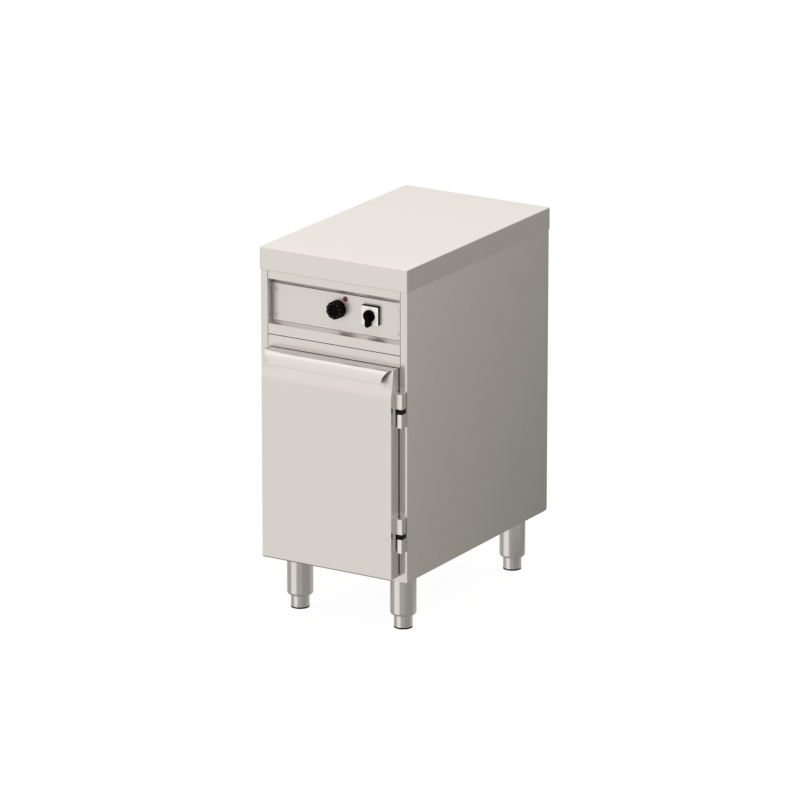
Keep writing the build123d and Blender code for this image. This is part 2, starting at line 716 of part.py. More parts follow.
def make_cable_gland():
    """The cable's way in, through the floor: a hollow screw with a cap below and a nut above."""
    hexagon = RegularPolygon(GLAND_HEX_RADIUS, 6, major_radius=True)
    seat = Pos(gland_x, gland_y, tray_floor - GLAND_HEX) * extrude(hexagon, GLAND_HEX)
    nut = Pos(gland_x, gland_y, tray_top) * extrude(hexagon, GLAND_NUT)
    cap = upright(gland_x, gland_y, tray_floor - GLAND_BELOW, tray_floor - GLAND_HEX, GLAND_CAP_RADIUS)
    cap = fillet(cap.edges().sort_by(Axis.Z)[0], (GLAND_CAP_RADIUS - GLAND_BORE_RADIUS) / 2)
    screw = upright(gland_x, gland_y, tray_floor - GLAND_HEX, tray_top + GLAND_NUT, GLAND_THREAD_RADIUS)
    gland = seat + nut + cap + screw
    z0 = tray_floor - GLAND_BELOW - CUT_PAST
    z1 = tray_top + GLAND_NUT + CUT_PAST
    return gland - upright(gland_x, gland_y, z0, z1, GLAND_BORE_RADIUS)


# Chamber


def make_liner_side(side):
    wall = sorted((side * chamber_half, side * liner_half))
    bottom = chamber_bottom - LINER_SHEET
    return block(*wall, post_back, liner_back_y, bottom, chamber_top + LINER_SHEET)


def make_liner_back():
    """The chamber's back sheet, pierced for the ends of the heating element."""
    liner = block(-chamber_half, chamber_half, chamber_back, liner_back_y, chamber_bottom, chamber_top)
    for x in (element_run_x(0), element_run_x(ELEMENT_RUNS - 1)):
        radius = ELEMENT_RADIUS + HOLE_CLEARANCE
        liner -= spindle(x, element_z, chamber_back - CUT_PAST, liner_back_y + CUT_PAST, radius)
    return liner


def make_liner_floor():
    bottom = chamber_bottom - LINER_SHEET
    return block(-chamber_half, chamber_half, post_back, liner_back_y, bottom, chamber_bottom)


def make_liner_ceiling():
    top = chamber_top + LINER_SHEET
    liner = block(-chamber_half, chamber_half, post_back, liner_back_y, chamber_top, top)
    hole_radius = 2 * CAPILLARY_RADIUS
    return liner - upright(CAPILLARY_X, capillary_y, chamber_top - CUT_PAST, top + CUT_PAST, hole_radius)


def make_insulation_walls():
    """Slabs at the left, the right and the back of the chamber."""
    top = rail_top - BODY_SHEET
    back = panel_back - BODY_SHEET
    slabs = []
    for side in (-1, 1):
        wall = sorted((side * liner_half, side * body_inner_half))
        slabs.append(block(*wall, body_front + POST_CAVITY, back, tray_top, top))
    slab = block(-liner_half, liner_half, liner_back_y, back, tray_top, top)
    for x in (element_run_x(0), element_run_x(ELEMENT_RUNS - 1)):
        end = liner_back_y + ELEMENT_TAIL + CUT_PAST
        slab -= spindle(x, element_z, liner_back_y - CUT_PAST, end, ELEMENT_RADIUS + HOLE_CLEARANCE)
    slab -= upright(gland_x, gland_y, tray_top - CUT_PAST, top + CUT_PAST, CHANNEL_RADIUS)
    return slabs + [slab]


def make_insulation_decks():
    """Slabs under the chamber's floor and over its ceiling."""
    floor = block(
        -liner_half, liner_half, post_back, liner_back_y, tray_top, chamber_bottom - LINER_SHEET
    )
    for x, y in leg_places.values():
        floor -= upright(x, y, tray_top - CUT_PAST, tray_top + LEG_BOLT_POCKET, LEG_BOLT_POCKET_RADIUS)
    z0 = chamber_top + LINER_SHEET
    z1 = rail_top - BODY_SHEET
    ceiling = block(-liner_half, liner_half, post_back, liner_back_y, z0, z1)
    ceiling -= upright(CAPILLARY_X, capillary_y, z0 - CUT_PAST, z1 + CUT_PAST, 2 * CAPILLARY_RADIUS)
    return [floor, ceiling]


def make_rack(side):
    """One side rack: two uprights on the liner with a runner angle at each level."""
    outer = chamber_half
    upright_in = outer - RACK_UPRIGHT
    runner_in = upright_in - RUNNER_SHEET
    low = runner_first_z - RUNNER_WIDTH * 2
    high = runner_last_z + RUNNER_WIDTH * 2
    rack = None
    for y in (body_front + RACK_END_GAP, chamber_back - RACK_END_GAP):
        strip = block(upright_in, outer, y - RACK_UPRIGHT_WIDTH / 2, y + RACK_UPRIGHT_WIDTH / 2, low, high)
        rack = strip if rack is None else rack + strip
    y0 = body_front + RUNNER_FRONT_GAP
    y1 = chamber_back - RUNNER_BACK_GAP
    for level in range(RUNNER_COUNT):
        z = runner_first_z + runner_pitch * level
        rack += block(runner_in, upright_in, y0, y1, z - RUNNER_SHEET, z + RUNNER_WIDTH)
        rack += block(upright_in - RUNNER_WIDTH, upright_in, y0, y1, z - RUNNER_SHEET, z)
    return rack if side > 0 else mirror(rack, Plane.YZ)


def make_shelf(level):
    """A wire shelf: a rod frame with wires from front to back, resting on two runners."""
    z = level + SHELF_ROD_RADIUS + SHELF_REST_GAP
    side_x = chamber_half - RACK_UPRIGHT - RUNNER_SHEET - SHELF_SIDE_GAP
    y0 = body_front + RUNNER_FRONT_GAP + SHELF_END_GAP
    y1 = chamber_back - RUNNER_BACK_GAP - SHELF_END_GAP
    shelf = crossbar(y0, z, -side_x, side_x, SHELF_ROD_RADIUS)
    shelf += crossbar(y1, z, -side_x, side_x, SHELF_ROD_RADIUS)
    shelf += crossbar((y0 + y1) / 2, z, -side_x, side_x, SHELF_ROD_RADIUS)
    for x in (-side_x, side_x):
        shelf += spindle(x, z, y0, y1, SHELF_ROD_RADIUS)
        for y in (y0, y1):
            shelf += Pos(x, y, z) * Sphere(SHELF_ROD_RADIUS)
    pitch = 2 * side_x / (SHELF_WIRE_COUNT + 1)
    wire_z = z + SHELF_ROD_RADIUS - SHELF_WIRE_RADIUS / 2
    for n in range(SHELF_WIRE_COUNT):
        x = -side_x + pitch * (n + 1)
        shelf += spindle(x, wire_z, y0 - SHELF_ROD_RADIUS / 2, y1 + SHELF_ROD_RADIUS / 2, SHELF_WIRE_RADIUS)
    return shelf


# Heater


def element_run_x(run):
    """X of one of the heating element's straight runs, counted from the left."""
    return (run - (ELEMENT_RUNS - 1) / 2) * element_spacing


def make_heating_element():
    """A tubular element in hairpins, flat above the floor, whose ends leave through the back."""
    front = body_front + ELEMENT_FRONT_GAP
    turn = chamber_back - ELEMENT_FRONT_GAP
    tail = liner_back_y + ELEMENT_TAIL
    points = [(element_run_x(0), tail, element_z)]
    for run in range(ELEMENT_RUNS):
        x = element_run_x(run)
        ends = (front, turn) if run % 2 else (turn, front)
        if run > 0:
            points.append((x, ends[0], element_z))
        if run < ELEMENT_RUNS - 1:
            points.append((x, ends[1], element_z))
    points.append((element_run_x(ELEMENT_RUNS - 1), tail, element_z))
    route = FilletPolyline(*points, radius=ELEMENT_BEND)
    section = Plane(origin=route @ 0, z_dir=route % 0) * Circle(ELEMENT_RADIUS)
    return sweep(section, path=route)


def make_element_support(y):
    """A comb across the floor whose notches carry the element."""
    half_x = chamber_half - COVER_SIDE_GAP - 2 * LINER_SHEET
    support = block(
        -half_x, half_x, y - SUPPORT_WIDTH / 2, y + SUPPORT_WIDTH / 2, chamber_bottom, element_z
    )
    notch_radius = ELEMENT_RADIUS + FIXED_CLEARANCE
    for run in range(ELEMENT_RUNS):
        x = element_run_x(run)
        support -= spindle(x, element_z, y - SUPPORT_WIDTH, y + SUPPORT_WIDTH, notch_radius)
    return support


def make_element_supports():
    first = body_front + ELEMENT_FRONT_GAP + SUPPORT_INSET
    last = chamber_back - ELEMENT_FRONT_GAP - SUPPORT_INSET
    return [make_element_support(y) for y in (first, last)]


def make_heater_cover():
    """A slotted bridge over the element, open at the back."""
    half = chamber_half - COVER_SIDE_GAP
    y0 = body_front + COVER_FRONT_GAP
    y1 = chamber_back - COVER_BACK_GAP
    top = chamber_bottom + COVER_HEIGHT
    cover = block(-half, half, y0, y1, chamber_bottom, top)
    cover -= block(
        -half + LINER_SHEET, half - LINER_SHEET, y0 + LINER_SHEET, y1 + CUT_PAST,
        chamber_bottom - CUT_PAST, top - LINER_SHEET,
    )
    pitch_x = (2 * half - 2 * SLOT_MARGIN) / SLOT_COLUMNS
    pitch_y = (y1 - y0 - 2 * SLOT_MARGIN) / SLOT_ROWS
    slot_length = pitch_x - SLOT_BRIDGE
    slots = []
    for column in range(SLOT_COLUMNS):
        for row in range(SLOT_ROWS):
            x = -half + SLOT_MARGIN + pitch_x * (column + 0.5)
            y = y0 + SLOT_MARGIN + pitch_y * (row + 0.5)
            slots.append(Pos(x, y) * SlotOverall(slot_length, SLOT_WIDTH))
    cutter = extrude(Pos(0, 0, top - 2 * LINER_SHEET) * Sketch(slots), 3 * LINER_SHEET)
    return cover - cutter


# Door


def door_outline(sheet, back):
    """Corners of the door's side view, inset by a sheet's thickness, up to a back plane."""
    bend_z = door_top - LEAN_HEIGHT
    top = door_top - BODY_SHEET
    lean = LEAN_DEPTH / LEAN_HEIGHT
    front = door_front + sheet
    return [
        (back, door_bottom + sheet), (front, door_bottom + sheet),
        (front, bend_z), (front + lean * (top - bend_z), top), (back, top),
    ]


def make_door_core(sheet, back, half):
    """The door's body as one solid, with the bend of its leaning top rounded."""
    core = side_profile(door_outline(sheet, back), -half, half)
    bend_z = door_top - LEAN_HEIGHT
    bends = [
        edge for edge in core.edges().filter_by(Axis.X)
        if abs(edge.center().Z - bend_z) < 0.01 and abs(edge.center().Y - door_front - sheet) < 0.01
    ]
    return fillet(bends, LEAN_BEND_RADIUS)


def make_door_front_skin():
    """The outer pan: front, sides and bottom, open at the top and at the back."""
    outer = make_door_core(0, door_back, door_half)
    cavity = make_door_core(BODY_SHEET, door_back + CUT_PAST, door_half - BODY_SHEET)
    top = door_top - BODY_SHEET
    mouth = block(
        -door_half + BODY_SHEET, door_half - BODY_SHEET,
        door_front + BODY_SHEET + LEAN_DEPTH, door_back + CUT_PAST, top - CUT_PAST, top + CUT_PAST,
    )
    return outer - cavity - mouth


def make_door_inner_pan():
    """The door's back sheet, inside the outer pan's edges."""
    half = door_half - BODY_SHEET
    return block(
        -half, half, door_back - LINER_SHEET, door_back,
        door_bottom + BODY_SHEET, door_top - BODY_SHEET,
    )


def make_door_insulation():
    return make_door_core(BODY_SHEET, door_back - LINER_SHEET, door_half - BODY_SHEET)


def make_lip_band(y, z, radius, low, high):
    """Sheet rolled about (y, z), between two angles off upright."""
    angles = (low, (low + high) / 2, high)
    outer = [(y - radius * cos(a), z + radius * sin(a)) for a in angles]
    radius -= BODY_SHEET
    inner = [(y - radius * cos(a), z + radius * sin(a)) for a in reversed(angles)]
    outline = ThreePointArc(*outer) + Line(outer[-1], inner[0])
    outline += ThreePointArc(*inner) + Line(inner[-1], outer[0])
    face = make_face(Plane.YZ * outline)
    return Pos(-door_half, 0, 0) * extrude(face, 2 * door_half, dir=(1, 0, 0))


def make_door_top_cap():
    """The cap on the door, rolled forward and down into the pull lip, with scooped ends."""
    top_y = lip_front + lip_reach
    top_z = door_top - LIP_TOP_RADIUS
    grown = lip_radius - LIP_TOP_RADIUS
    front_y = top_y + grown * cos(lip_turn)
    front_z = top_z - grown * sin(lip_turn)
    cap = block(-door_half, door_half, top_y, door_back, door_top - BODY_SHEET, door_top)
    lip = make_lip_band(top_y, top_z, LIP_TOP_RADIUS, lip_turn, radians(90))
    lip += make_lip_band(front_y, front_z, lip_radius, lip_foot, lip_turn)
    for side in (-1, 1):
        x = side * (door_half + LIP_SCOOP_OUT)
        lip -= spindle(x, door_top - LIP_DROP, lip_front - CUT_PAST, top_y, LIP_SCOOP_RADIUS)
    return cap + lip


def make_door_gasket():
    """The magnetic seal round the chamber's mouth, on the door's back."""
    y0 = door_back
    y1 = body_front - GASKET_CLEARANCE
    inner_half = chamber_half + GASKET_LAP
    low = chamber_bottom - GASKET_LAP
    high = chamber_top + GASKET_LAP
    width = GASKET_WIDTH
    ring = block(-inner_half - width, inner_half + width, y0, y1, low - width, high + width)
    return ring - block(-inner_half, inner_half, y0 - CUT_PAST, y1 + CUT_PAST, low, high)


# Hinges


def hinge_screw_heights(bottom):
    """Heights of one hinge's two screws."""
    middle = bottom + BRACKET_HEIGHT / 2
    return [middle - HINGE_SCREW_SPACING / 2, middle + HINGE_SCREW_SPACING / 2]


def make_hinge_bracket(bottom):
    """The fixed block on the post, with a lug behind the ring, bored for the pin and two screws."""
    front = hinge_y - BRACKET_AHEAD
    bracket = block(
        hinge_x - BRACKET_HALF_WIDTH, hinge_x + BRACKET_HALF_WIDTH, front, body_front,
        bottom, bottom + BRACKET_HEIGHT - EDGE_CLEARANCE,
    )
    corners = bracket.edges().filter_by(Axis.Z).group_by(Axis.Y)[0]
    bracket = fillet(corners, KNUCKLE_EDGE_RADIUS)
    bracket += block(
        hinge_x - BRACKET_HALF_WIDTH, hinge_x + BRACKET_HALF_WIDTH, hinge_y + BRACKET_LUG_BEHIND, body_front,
        bottom, bottom + BRACKET_HEIGHT + RING_HEIGHT - EDGE_CLEARANCE,
    )
    bracket -= upright(
        hinge_x, hinge_y, bottom + HINGE_PIN_END, bottom + HINGE_HEIGHT, HINGE_PIN_RADIUS + FIXED_CLEARANCE
    )
    end = body_front - HINGE_SCREW_DEPTH - FIXED_CLEARANCE
    for z in hinge_screw_heights(bottom):
        bracket -= spindle(hinge_x, z, end, body_front + CUT_PAST, HINGE_SCREW_RADIUS + FIXED_CLEARANCE)
    return bracket


def make_hinge_pin(bottom):
    pin = upright(
        hinge_x, hinge_y, bottom + HINGE_PIN_END, bottom + HINGE_HEIGHT - HINGE_PIN_END, HINGE_PIN_RADIUS
    )
    return chamfer(pin.edges().filter_by(GeomType.CIRCLE), HINGE_PIN_RADIUS / 8)


def make_hinge_screw(z):
    """A screw from inside the post into the fixed block."""
    shank = spindle(hinge_x, z, body_front - HINGE_SCREW_DEPTH, post_back, HINGE_SCREW_RADIUS)
    return shank + spindle(hinge_x, z, post_back, post_back + HINGE_SCREW_HEAD, HINGE_SCREW_HEAD_RADIUS)


def make_hinge_ring(bottom):
    """The bearing ring between the two halves, turning with the door."""
    z0 = bottom + BRACKET_HEIGHT
    ring = block(
        leaf_out + RING_INSET, hinge_x + KNUCKLE_OUT - RING_INSET,
        hinge_y - KNUCKLE_AHEAD, hinge_y + RING_BEHIND, z0, z0 + RING_HEIGHT,
    )
    ring = fillet(ring.edges().filter_by(Axis.Z).group_by(Axis.X)[-1], KNUCKLE_EDGE_RADIUS)
    bore = HINGE_PIN_RADIUS + RUNNING_CLEARANCE
    return ring - upright(hinge_x, hinge_y, z0 - CUT_PAST, z0 + RING_HEIGHT + CUT_PAST, bore)


def make_hinge_leaf(bottom):
    """The leaf on the door's side with the knuckle block that turns on the pin."""
    top = bottom + HINGE_HEIGHT
    leaf = block(door_half, leaf_out, door_back - LEAF_WIDTH, door_back, bottom, top)
    z0 = bottom + BRACKET_HEIGHT + RING_HEIGHT
    y0 = hinge_y - KNUCKLE_AHEAD
    knuckle = block(leaf_out, hinge_x + KNUCKLE_OUT, y0, hinge_y + KNUCKLE_BEHIND, z0, top)
    back = knuckle.edges().filter_by(Axis.Z).group_by(Axis.Y)[-1].sort_by(Axis.X)[-1]
    knuckle = fillet(back, KNUCKLE_BACK_RADIUS)
    front = knuckle.edges().filter_by(Axis.Z).group_by(Axis.Y)[0].sort_by(Axis.X)[-1]
    knuckle = fillet(front, KNUCKLE_EDGE_RADIUS)
    leaf += knuckle
    end = bottom + HINGE_HEIGHT - HINGE_PIN_END + CUT_PAST
    return leaf - upright(hinge_x, hinge_y, z0 - CUT_PAST, end, HINGE_PIN_RADIUS + RUNNING_CLEARANCE)


# Legs


def make_leg(x, y):
    """A tube with a drawn-in lower end, a top plate and the nut for the foot's stem."""
    mouth = FOOT_RADIUS + FOOT_SIDE_GAP
    leg = upright(x, y, LEG_SHOULDER_BOTTOM, tray_floor, LEG_RADIUS)
    leg = fillet(leg.edges().filter_by(GeomType.CIRCLE).group_by(Axis.Z)[0], LEG_SHOULDER_RADIUS)
    bore = LEG_RADIUS - LEG_WALL
    room_top = tray_floor - LEG_TOP_PLATE
    leg -= upright(x, y, LEG_NUT_BOTTOM + LEG_NUT, room_top, bore)
    leg -= upright(x, y, LEG_SHOULDER_TOP, LEG_NUT_BOTTOM, bore)
    leg -= upright(x, y, LEG_SHOULDER_BOTTOM - CUT_PAST, LEG_SHOULDER_TOP + CUT_PAST, mouth)
    nut_bore = FOOT_STEM_RADIUS + RUNNING_CLEARANCE
    leg -= upright(x, y, LEG_NUT_BOTTOM - CUT_PAST, LEG_NUT_BOTTOM + LEG_NUT + CUT_PAST, nut_bore)
    leg -= upright(x, y, room_top - CUT_PAST, tray_floor + CUT_PAST, LEG_BOLT_RADIUS + FIXED_CLEARANCE)
    return leg


def make_leg_bolt(x, y):
    """A hexagon bolt with its washer, from the tray down into the leg's top plate."""
    washer_top = tray_top + LEG_WASHER
    head = Pos(x, y, washer_top) * extrude(
        RegularPolygon(LEG_BOLT_HEAD_RADIUS, 6, major_radius=True), LEG_BOLT_HEAD
    )
    bolt = head + upright(x, y, tray_top, washer_top, LEG_WASHER_RADIUS)
    return bolt + upright(x, y, tray_floor - LEG_TOP_PLATE, tray_top, LEG_BOLT_RADIUS)


def make_foot(x, y):
    """The screw-in foot: a round skirt below and a threaded stem inside the leg."""
    foot = upright(x, y, PAD_HEIGHT, FOOT_TOP, FOOT_RADIUS)
    foot = fillet(foot.edges().group_by(Axis.Z)[-1], FOOT_RADIUS / 10)
    return foot + upright(x, y, FOOT_TOP, FOOT_STEM_TOP, FOOT_STEM_RADIUS)


def make_foot_pad(x, y):
    pad = upright(x, y, 0, PAD_HEIGHT, PAD_RADIUS)
    return fillet(pad.edges().group_by(Axis.Z)[0], PAD_HEIGHT / 8)


def build():
    """Make every node and write it to its own file."""
    os.makedirs("parts", exist_ok=True)
    save("worktop", make_worktop())
    save("worktop_stiffeners", *make_worktop_stiffeners())
    save("side_panel_left", make_side_panel(-1))
    save("side_panel_right", make_side_panel(1))
    save("back_panel", make_back_panel())
    save("bottom_tray", make_bottom_tray())
    save("frame_top_rail", make_frame_top_rail())
    save("compartment_floor", make_compartment_floor())

    save("fascia_frame", make_fascia_frame())
    save("fascia_strip", make_fascia_strip())
    save("control_plate", make_control_plate())
    save("control_plate_screws", *[make_plate_screw(x, z) for x, z in plate_screw_places()])
    save("thermostat_knob", make_thermostat_knob())
    save("thermostat_body", make_thermostat_body())
    save("thermostat_sensor", make_thermostat_sensor())
    save("bulb_clip", make_bulb_clip())
    save("pilot_lamp_lens", make_pilot_lamp_lens())
    save("pilot_lamp_body", make_pilot_lamp_body())
    plate_edge = switch_front + SWITCH_PLATE_DEPTH
    hole_radius = HANDLE_SPINDLE_RADIUS + 3 * HOLE_CLEARANCE
    save("switch_plate", make_switch_piece(switch_front, plate_edge, hole_radius, 0))
    save("switch_frame", make_switch_piece(plate_edge, plate_front, hole_radius, SWITCH_FRAME_RISE))
    save("switch_block", make_switch_block())
    save("switch_handle", make_switch_handle())
    save("terminal_block", make_terminal_block())
    save("cable_gland", make_cable_gland())

    save("liner_left", make_liner_side(-1))
    save("liner_right", make_liner_side(1))
    save("liner_back", make_liner_back())
    save("liner_floor", make_liner_floor())
    save("liner_ceiling", make_liner_ceiling())
    save("insulation_walls", *make_insulation_walls())
    save("insulation_decks", *make_insulation_decks())
    save("shelf_racks", make_rack(-1), make_rack(1))
    for node, level in shelf_levels.items():
        save(node, make_shelf(level))
    save("heating_element", make_heating_element())
    save("element_supports", *make_element_supports())
    save("heater_cover", make_heater_cover())

    save("door_front_skin", make_door_front_skin())
    save("door_top_cap", make_door_top_cap())
    save("door_inner_pan", make_door_inner_pan())
    save("door_insulation", make_door_insulation())
    save("door_gasket", make_door_gasket())
    save("hinge_brackets", *[make_hinge_bracket(bottom) for bottom in hinge_bottoms])
    save("hinge_pins", *[make_hinge_pin(bottom) for bottom in hinge_bottoms])
    screws = [make_hinge_screw(z) for bottom in hinge_bottoms for z in hinge_screw_heights(bottom)]
    save("hinge_screws", *screws)
    save("hinge_rings", *[make_hinge_ring(bottom) for bottom in hinge_bottoms])
    save("hinge_leaves", *[make_hinge_leaf(bottom) for bottom in hinge_bottoms])

    for place, (x, y) in leg_places.items():
        save(f"leg_{place}", make_leg(x, y))
        save(f"foot_{place}", make_foot(x, y))
        save(f"foot_pad_{place}", make_foot_pad(x, y))
    save("leg_bolts", *[make_leg_bolt(x, y) for x, y in leg_places.values()])


build()
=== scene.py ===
from math import cos, pi, radians, sin, tau

import bmesh
import bpy
from mathutils import Matrix, Vector


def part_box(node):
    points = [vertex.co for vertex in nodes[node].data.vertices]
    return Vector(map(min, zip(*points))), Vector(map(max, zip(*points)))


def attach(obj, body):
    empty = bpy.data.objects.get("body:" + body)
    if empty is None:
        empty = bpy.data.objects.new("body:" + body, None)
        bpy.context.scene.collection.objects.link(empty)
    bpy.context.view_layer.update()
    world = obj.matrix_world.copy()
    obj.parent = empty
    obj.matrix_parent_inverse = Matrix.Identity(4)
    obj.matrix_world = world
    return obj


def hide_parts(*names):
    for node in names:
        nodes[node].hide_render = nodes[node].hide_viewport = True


# The looks of a free-standing plate warmer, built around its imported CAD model. Metres, in the
# model's own frame: +X is to the right, +Y to the back, +Z up, and the floor is at zero.

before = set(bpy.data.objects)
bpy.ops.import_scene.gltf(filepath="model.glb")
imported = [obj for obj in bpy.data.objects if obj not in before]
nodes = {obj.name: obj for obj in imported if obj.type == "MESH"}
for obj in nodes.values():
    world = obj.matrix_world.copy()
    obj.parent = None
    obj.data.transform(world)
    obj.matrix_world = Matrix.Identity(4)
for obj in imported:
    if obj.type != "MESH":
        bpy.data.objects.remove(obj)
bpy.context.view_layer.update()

# Camera, fitted to the corners of the worktop, body and legs
CAMERA_YAW = radians(31.308)
CAMERA_PITCH = radians(16.886)
CAMERA_DISTANCE = 14.2586
CAMERA_TARGET = Vector((0, 0.021, 0.45))
CAMERA_ASIDE = -0.01517
CAMERA_RISE = 0.01523
CAMERA_LENS = 272.1
CAMERA_SENSOR = 36
CAMERA_FAR = 100


# Materials


class Nodes:
    """The node tree of a material or a world, with short calls for what is used here."""

    def __init__(self, owner):
        owner.use_nodes = True
        self.tree = owner.node_tree

    def add(self, kind, inputs=(), **settings):
        """Adds a node; inputs are (socket, value or output) pairs."""
        node = self.tree.nodes.new(kind)
        for key, value in settings.items():
            setattr(node, key, value)
        for socket, value in inputs:
            self.set(node.inputs[socket], value)
        return node

    def set(self, socket, value):
        """Gives a socket a constant, or links an output to it."""
        if isinstance(value, bpy.types.NodeSocket):
            self.tree.links.new(value, socket)
        else:
            socket.default_value = value

    def coordinates(self, kind="Object"):
        """A place or a normal in the object's own space, or a direction in the world."""
        return self.add("ShaderNodeTexCoord").outputs[kind]

    def axes(self, vector):
        """The x, y and z of a place or direction."""
        return self.add("ShaderNodeSeparateXYZ", [(0, vector)]).outputs

    def span(self, value, low, high, start=0.0, end=1.0):
        """Maps a value from start..end to low..high."""
        inputs = [(0, value), (1, start), (2, end), (3, low), (4, high)]
        return self.add("ShaderNodeMapRange", inputs).outputs[0]

    def math(self, operation, a, b):
        """Arithmetic on two values or outputs."""
        return self.add("ShaderNodeMath", [(0, a), (1, b)], operation=operation).outputs[0]

    def mix(self, factor, a, b):
        """Mixes two values by a factor."""
        return self.add("ShaderNodeMix", [(0, factor), (2, a), (3, b)]).outputs[0]

    def tint(self, factor, a, b):
        """Mixes two colours by a factor."""
        inputs = [(0, factor), (6, (*a, 1)), (7, (*b, 1))]
        return self.add("ShaderNodeMix", inputs, data_type="RGBA").outputs[2]


class Shader(Nodes):
    """A node material, built up around its Principled shader."""

    def __init__(self, name, color, **values):
        self.material = bpy.data.materials.new(name)
        super().__init__(self.material)
        self.surface = self.tree.nodes["Principled BSDF"]
        self.surface.inputs["Base Color"].default_value = (*color, 1)
        for socket, value in values.items():
            self.surface.inputs[socket.replace("_", " ")].default_value = value

    def place(self, scale):
        """The object's own coordinates, stretched by a scale along each axis."""
        inputs = [("Vector", self.coordinates()), ("Scale", scale)]
        return self.add("ShaderNodeMapping", inputs).outputs[0]

    def noise(self, vector, scale=1.0, detail=2.0, rough=0.5):
        """Cloudy noise from 0 to 1 over a place."""
        inputs = [("Vector", vector), ("Scale", scale), ("Detail", detail), ("Roughness", rough)]
        return self.add("ShaderNodeTexNoise", inputs).outputs["Fac"]

    def finish(self, color=None, roughness=None, height=None, strength=0.1, depth=0.0001):
        """Links what the pattern drives to the Principled shader, and returns the material."""
        if color is not None:
            self.set(self.surface.inputs["Base Color"], color)
        if roughness is not None:
            self.set(self.surface.inputs["Roughness"], roughness)
        if height is not None:
            inputs = [("Height", height), ("Strength", strength), ("Distance", depth)]
            bump = self.add("ShaderNodeBump", inputs).outputs[0]
            self.set(self.surface.inputs["Normal"], bump)
        return self.material


# The grain's repeats per metre, across the brushing and along it
GRAIN_FINE = 1400.0
GRAIN_LONG = 9.0
GRAIN_SCALES = {
    "x": (GRAIN_LONG, GRAIN_FINE, GRAIN_FINE),
    "y": (GRAIN_FINE, GRAIN_LONG, GRAIN_FINE),
    "z": (GRAIN_FINE, GRAIN_FINE, GRAIN_LONG),
}

# A face ends the brushing where its normal has at least this share along it
END_FACING = 0.7


def shade(color, factor):
    """A colour made lighter or darker."""
    return tuple(channel * factor for channel in color)


def grain(shader, along, across_ends):
    """Brushed lines along one axis, turned to a second axis on the faces that end the first."""
    main = shader.place(GRAIN_SCALES[along])
    ends = shader.place(GRAIN_SCALES[across_ends])
    normal = shader.axes(shader.coordinates("Normal"))
    upright = shader.math("ABSOLUTE", normal["xyz".index(along)], 0)
    facing = shader.math("GREATER_THAN", upright, END_FACING)
    turned = shader.add("ShaderNodeMix", [(0, facing), (4, main), (5, ends)], data_type="VECTOR")
    return shader.noise(turned.outputs[1], detail=3.0, rough=0.6)


EVEN = (1, 1, 1)

# Steel's clouding and marks per metre, the shares of lines and clouding in its tone, the range
# of that tone, and how far lines and marks raise or lower its roughness
CLOUD_SCALE = 3.5
MARK_SCALE = 14.0
LINE_SHARE = 0.6
CLOUD_SHARE = 0.4
STEEL_TONES = (0.965, 1.035)
LINE_POLISH = 0.03
MARK_POLISH = 0.015
STEEL_BUMP = 0.05
STEEL_DEPTH = 0.00002

# A painted fade of light and shade runs between these depths, and its own levels hold on faces
# turned to the right
PAINTED_FADE_RUN = (-0.3, 0.35)
PAINTED_SIDE_FACING = (0.6, 0.9)

# Where the door's skin is rougher, behind the two scoops of its lip: how much, how far aside,
# and the heights between which it comes in and goes out
DULL_RISE = 0.15
DULL_ASIDE = (0.146, 0.156)
DULL_FOOT = (0.604, 0.616)
DULL_HEAD = (0.628, 0.644)


def paint_light_fade(shader, metal, painted_fade, painted_side_fade):
    """Painted light and shade: the colour times a level that runs from front to back, with its own
    on right faces.
    """
    back = shader.axes(shader.coordinates())[1]
    right = shader.axes(shader.coordinates("Normal"))[0]
    levels = [shader.span(back, *ends, *PAINTED_FADE_RUN) for ends in (painted_fade, painted_side_fade)]
    level = shader.mix(shader.span(right, 0, 1, *PAINTED_SIDE_FACING), *levels)
    scaled = shader.add("ShaderNodeVectorMath", [(0, metal), (3, level)], operation="SCALE")
    return scaled.outputs[0]


def scoop_dulling(shader):
    """The added roughness behind the scoops of the door's lip."""
    across, _, rise = shader.axes(shader.coordinates())
    aside = shader.span(shader.math("ABSOLUTE", across, 0), 0, DULL_RISE, *DULL_ASIDE)
    foot = shader.span(rise, 0, 1, *DULL_FOOT)
    head = shader.span(rise, 1, 0, *DULL_HEAD)
    return shader.math("MULTIPLY", aside, shader.math("MULTIPLY", foot, head))


def brushed_steel(
    name, color, roughness, along="z", across_ends="x",
    painted_fade=None, painted_side_fade=None, metallic=1.0, dulled=False,
):
    """Satin stainless sheet: fine lines and faint clouding, with an optional painted fade of light
    and shade and an optional dull patch.
    """
    shader = Shader(name, color, Metallic=metallic)
    lines = grain(shader, along, across_ends)
    cloud = shader.noise(shader.place(EVEN), scale=CLOUD_SCALE, detail=4.0)
    marks = shader.noise(shader.place(EVEN), scale=MARK_SCALE, detail=3.0)
    tone = shader.math("ADD", shader.span(lines, 0, LINE_SHARE), shader.span(cloud, 0, CLOUD_SHARE))
    metal = shader.tint(tone, *(shade(color, level) for level in STEEL_TONES))
    if painted_fade:
        metal = paint_light_fade(shader, metal, painted_fade, painted_side_fade)
    polish = shader.math(
        "ADD", shader.span(lines, -LINE_POLISH, LINE_POLISH),
        shader.span(marks, -MARK_POLISH, MARK_POLISH),
    )
    polish = shader.math("ADD", polish, roughness)
    if dulled:
        polish = shader.math("ADD", polish, scoop_dulling(shader))
    return shader.finish(
        color=metal, roughness=polish, height=lines, strength=STEEL_BUMP, depth=STEEL_DEPTH,
    )


STEEL = (0.62, 0.606, 0.592)

# Painted fades that hold one level from front to back: the first paints nothing, the second
# lightens the right faces of the door and its lip as painted light, and the third darkens the
# hinges' right faces as painted shade
LEVEL = (1, 1)
DOOR_SIDE_PAINTED_LIGHT = (1.26, 1.26)
HINGE_SIDE_PAINTED_SHADE = (0.66, 0.66)

